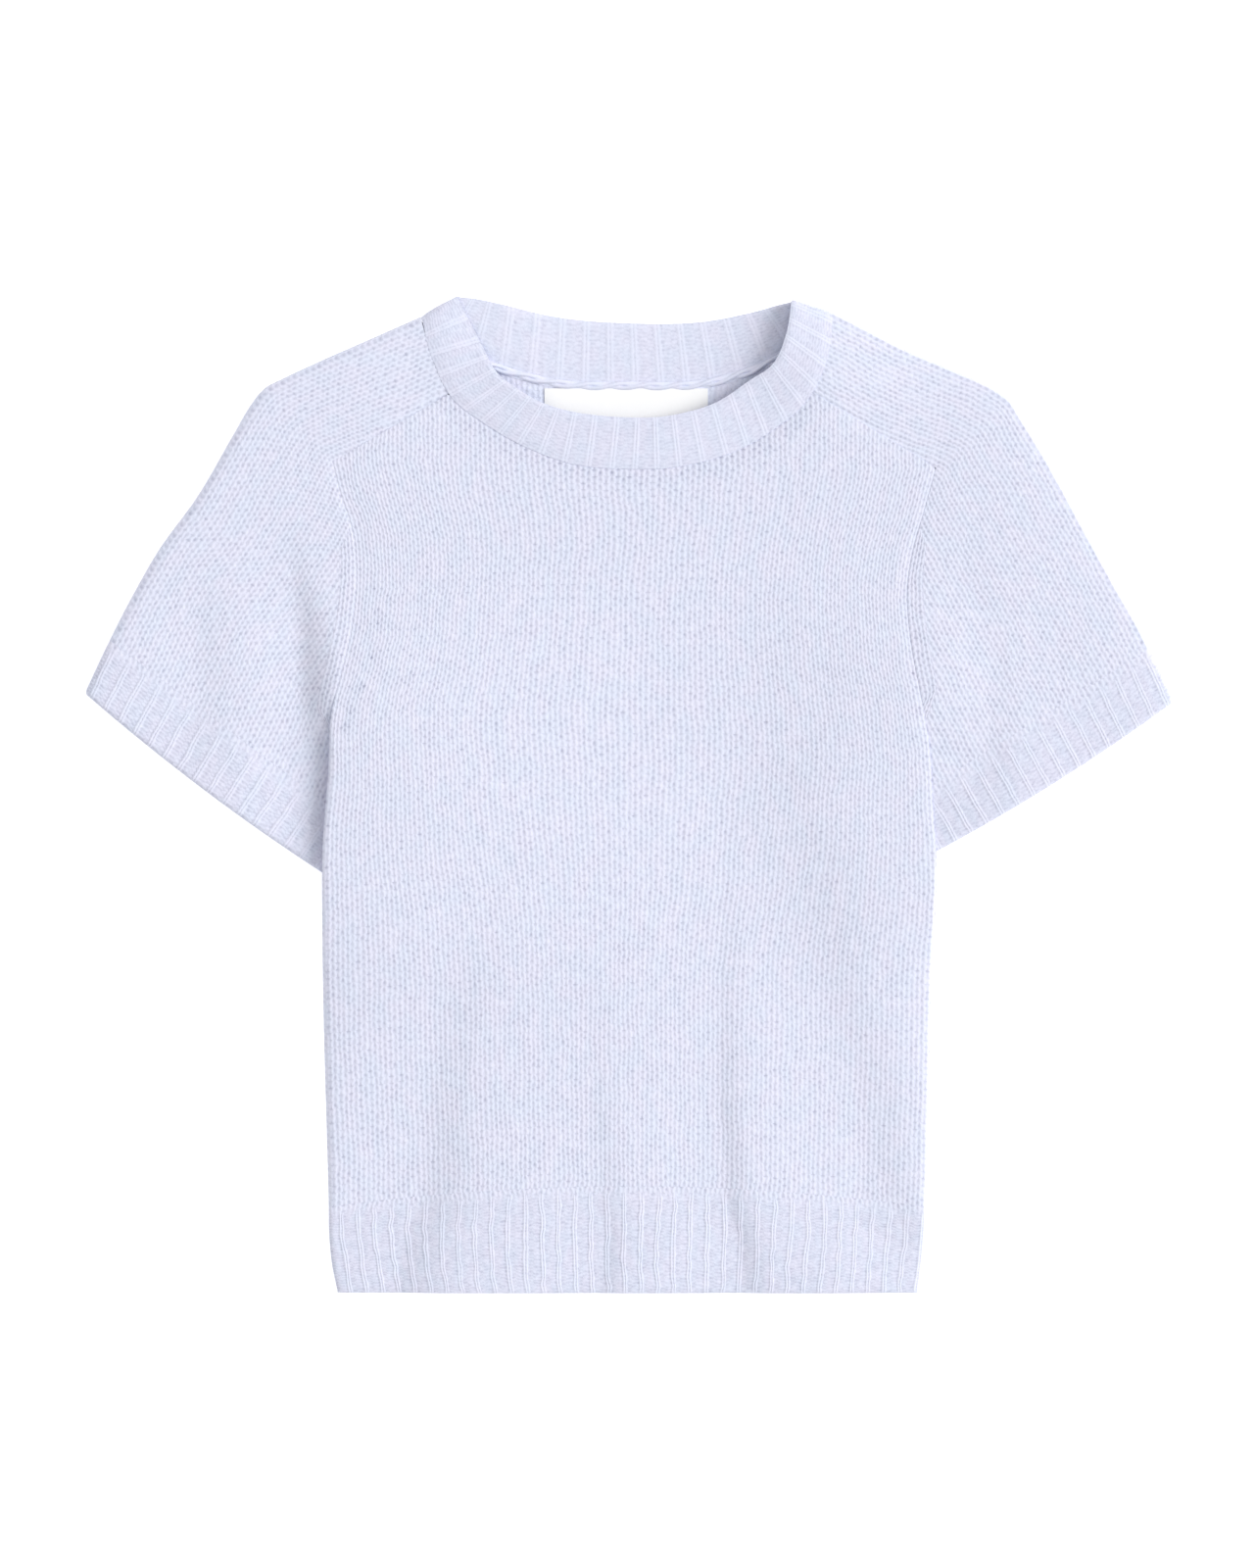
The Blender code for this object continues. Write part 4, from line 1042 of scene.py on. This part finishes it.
def add_label(finish):
    wide, tall, thick = LABEL_SIZE
    across, up = np.linspace(-0.5, 0.5, 25), np.linspace(-0.5, 0.5, 13)[:, None]
    x = LABEL_TOP[0] + wide * across
    y = LABEL_TOP[1] - tall / 2 + tall * up
    away = np.minimum(wide * (0.5 - np.abs(across)), tall * (0.5 - np.abs(up)))
    rise = thick * (0.5 + 0.5 * roundness(away, LABEL_ROUND))
    low = points(x, y, WALL + SEAM)
    return add_shell("plain_label", low, low + points(0.0, 0.0, rise), points(x, y), finish, 2)


# Materials


def set_inputs(shader, values):
    for key, value in values.items():
        shader.inputs[key].default_value = value


def new_material(name, values):
    made = bpy.data.materials.new(name)
    made.use_nodes = True
    shader = made.node_tree.nodes["Principled BSDF"]
    set_inputs(shader, values)
    return made, made.node_tree, shader


def node(tree, kind, inputs=(), **settings):
    """A new node with its settings, and its inputs linked or given values by their names or numbers."""
    made = tree.nodes.new(kind)
    for key, value in settings.items():
        setattr(made, key, value)
    for key, value in dict(inputs).items():
        if isinstance(value, bpy.types.NodeSocket):
            tree.links.new(value, made.inputs[key])
        else:
            made.inputs[key].default_value = value
    return made


def calc(tree, operation, *values, kind="ShaderNodeMath"):
    return node(tree, kind, dict(enumerate(values)), operation=operation).outputs[0]


def calc_vector(*inputs):
    return calc(*inputs, kind="ShaderNodeVectorMath")


def ramp(tree, value, stops):
    """A colour ramp with (place, colour) stops."""
    made = node(tree, "ShaderNodeValToRGB", {0: value})
    elements = made.color_ramp.elements
    while len(elements) < len(stops):
        elements.new(0.5)
    for element, (place, colour) in zip(elements, stops):
        element.position = place
        element.color = (*colour, 1.0)
    return made.outputs[0]


def noise(tree, scale, detail=2.0, roughness=0.5):
    place = node(tree, "ShaderNodeTexCoord").outputs["Object"]
    return node(tree, "ShaderNodeTexNoise",
                {"Vector": place, "Scale": scale, "Detail": detail, "Roughness": roughness})


def stitch_coordinates(tree, stitch, jitter_u, jitter_v, scale):
    """Wale and course, a little uneven."""
    parts = node(tree, "ShaderNodeSeparateXYZ", {0: stitch})
    luck = node(tree, "ShaderNodeSeparateColor", {0: noise(tree, scale).outputs["Color"]})
    uneven = []
    for k, amount in enumerate((jitter_u, jitter_v)):
        moved = calc(tree, "MULTIPLY_ADD", luck.outputs[k], amount, -amount / 2)
        uneven.append(calc(tree, "ADD", parts.outputs[k], moved))
    return uneven


def wave(tree, value, turns):
    """cos of some turns for each whole step of a value."""
    return calc(tree, "COSINE", calc(tree, "MULTIPLY", value, 2 * np.pi * turns))


def jersey_height(tree, u, v):
    """The stocking stitch's height, from 0 to 1."""
    side = calc(tree, "MULTIPLY_ADD", calc(tree, "LESS_THAN", calc(tree, "FRACT", u), 0.5), 2.0, -1.0)
    lean = calc(tree, "MULTIPLY_ADD", calc(tree, "FRACT", v), 2 * STITCH_SLANT, -STITCH_SLANT)
    leaned = calc(tree, "MULTIPLY_ADD", side, lean, u)
    strands = calc(tree, "MULTIPLY", wave(tree, leaned, 2), -1.0)
    holes = calc(tree, "MULTIPLY", wave(tree, leaned, 1), wave(tree, v, 1))
    both = calc(tree, "MULTIPLY_ADD", holes, STITCH_LATTICE, strands)
    return calc(tree, "MULTIPLY_ADD", both, 0.5 / (1 + STITCH_LATTICE), 0.5)


def rib_height(tree, u, v):
    """The ribbing's height, from 0 to 1: raised legs by rows of short bars, and stocking stitch at a seam."""
    phase = calc(tree, "FRACT", u)
    ridge = ramp(tree, phase, tuple((at, (height,) * 3) for at, height in RIB))
    stagger = calc(tree, "MULTIPLY", calc(tree, "LESS_THAN", phase, RIB_STAGGER[0]), RIB_STAGGER[1])
    bars = wave(tree, calc(tree, "ADD", v, stagger), 1)
    bars = calc(tree, "MULTIPLY", bars, calc(tree, "SUBTRACT", 1.0, ridge))
    ribs = calc(tree, "MULTIPLY_ADD", ridge, *RIB_HEIGHTS)
    ribs = calc(tree, "MULTIPLY_ADD", bars, PURL_HEIGHT, ribs)
    begun = node(tree, "ShaderNodeMapRange", {"Value": calc(tree, "ABSOLUTE", v), "From Min": RIB_START[0],
                                              "From Max": RIB_START[1]}, interpolation_type="SMOOTHSTEP")
    wale = calc(tree, "MULTIPLY", u, BODY_WALES / HEM_RIBS)
    stitches = jersey_height(tree, wale, calc(tree, "MULTIPLY", v, RIB_COURSE / COURSE))
    more = calc(tree, "SUBTRACT", ribs, stitches)
    return calc(tree, "MULTIPLY_ADD", more, begun.outputs[0], stitches)


def add_bump(tree, shader, height, strength, distance):
    raised = node(tree, "ShaderNodeBump", {"Height": height, "Strength": strength, "Distance": distance})
    tree.links.new(raised.outputs[0], shader.inputs["Normal"])


def yarn(name, height_of, bump, jitter, speckle, streak, depth=1.0):
    """A soft, slightly uneven yarn, with shade painted between its strands.

    bump is how high they are. jitter is how far the stitches stray across and along, and how fine that
    is, speckle how fine the changes from stitch to stitch are, and streak how the colour runs both ways.
    """
    made, tree, shader = new_material(name, YARN_SURFACE)
    stitch = node(tree, "ShaderNodeUVMap", uv_map="stitch").outputs[0]
    height = height_of(tree, *stitch_coordinates(tree, stitch, *jitter))
    luck = calc(tree, "MULTIPLY_ADD", noise(tree, speckle, 1.0).outputs["Fac"], *YARN_LUCK)
    # More or less painted shade in the holes, as each point of the mesh gives
    luck = calc(tree, "ADD", luck, node(tree, "ShaderNodeAttribute", attribute_name="hole_shade").outputs["Fac"])
    fibres = noise(tree, *YARN_FIBRES).outputs["Fac"]
    # Painted shade: darker in the hollows between the strands, fading towards their tops
    hollow = calc(tree, "POWER", calc(tree, "SUBTRACT", 1.0, height), YARN_HOLLOW)
    hollow = calc(tree, "MULTIPLY", hollow, luck)
    light = calc(tree, "MULTIPLY_ADD", calc(tree, "SUBTRACT", fibres, 0.5), YARN_FUZZ, 1.0)
    # depth scales this painted shade
    shade = calc_vector(tree, "MULTIPLY", hollow, [depth * share for share in YARN_PAINTED_SHADE])
    light = calc_vector(tree, "SUBTRACT", light, shade)
    along = calc_vector(tree, "MULTIPLY", stitch, (*streak, 0.0))
    patches = node(tree, "ShaderNodeTexNoise", {"Vector": along, "Scale": 1.0, "Detail": 2.0}).outputs["Fac"]
    colour = calc_vector(tree, "MULTIPLY", ramp(tree, patches, YARN_TINTS), light)
    tree.links.new(colour, shader.inputs["Base Color"])
    add_bump(tree, shader, calc(tree, "MULTIPLY_ADD", fibres, YARN_HAIR, height), 1.0, bump)
    return made


def satin():
    made, tree, shader = new_material("label", {"Base Color": PAPER, "Roughness": 0.55})
    scale, strength, distance = SATIN_THREADS
    add_bump(tree, shader, noise(tree, scale, 1.0).outputs["Fac"], strength, distance)
    return made


def paper():
    return new_material("paper", {"Base Color": PAPER, "Roughness": 0.9, "Emission Color": WHITE,
                                  "Emission Strength": 0.45})[0]


# Stage


def add_floor():
    bpy.ops.mesh.primitive_plane_add(size=FLOOR[0], location=(0.0, 0.0, FLOOR[1]))
    floor = bpy.context.object
    floor.name = "floor"
    floor.data.materials.append(paper())


def add_lights():
    data = bpy.data.lights.new("key", "SUN")
    data.energy = KEY_STRENGTH
    data.angle = np.radians(KEY_SOFTNESS)
    tilt, turn = np.radians(KEY_WAY)
    add_object("key", data).rotation_euler = (-tilt, 0.0, -turn)
    world = bpy.data.worlds.new("studio")
    world.use_nodes = True
    set_inputs(world.node_tree.nodes["Background"], {"Color": WHITE, "Strength": SKY_STRENGTH})
    bpy.context.scene.world = world
    bpy.context.scene.view_settings.view_transform = "Standard"


def add_camera():
    data = bpy.data.cameras.new("camera")
    data.sensor_width = SENSOR
    data.lens = SENSOR * CAMERA_UP / VIEW_HEIGHT
    data.clip_end = 100.0
    camera = add_object("camera", data)
    camera.location = (VIEW_MIDDLE[0] * MM, VIEW_MIDDLE[1] * MM, CAMERA_UP * MM)
    bpy.context.scene.camera = camera


def ride(piece):
    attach(piece, "root")
    return piece


def dress(piece, node_name):
    """Hide the solid that a piece stands for, and hang the piece on the root."""
    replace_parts(ride(piece), node_name)


knit = yarn("knit", jersey_height, YARN_BUMP, *KNIT_YARN)
ribbing = yarn("ribbing", rib_height, YARN_BUMP, *RIB_YARN)
band_ribbing = yarn("band_ribbing", rib_height, BAND_BUMP, *RIB_YARN, depth=BAND_SHADE_SHARE)

dress(add_back(knit), "back_panel")
dress(add_hem_back(ribbing), "hem_back")
dress(add_front(knit), "front_panel")
dress(add_hem_front(ribbing), "hem_front")
for side, name in ((-1, "left"), (1, "right")):
    dress(add_sleeve(f"sleeve_{name}_knit", side, knit), f"sleeve_{name}")
    dress(add_cuff(f"cuff_{name}_knit", side, ribbing), f"cuff_{name}")
chain = ride(add_chain(band_ribbing))
dress(add_neckband(band_ribbing), "neckband")
dress(add_label(satin()), "label")

add_floor()
add_lights()
add_camera()
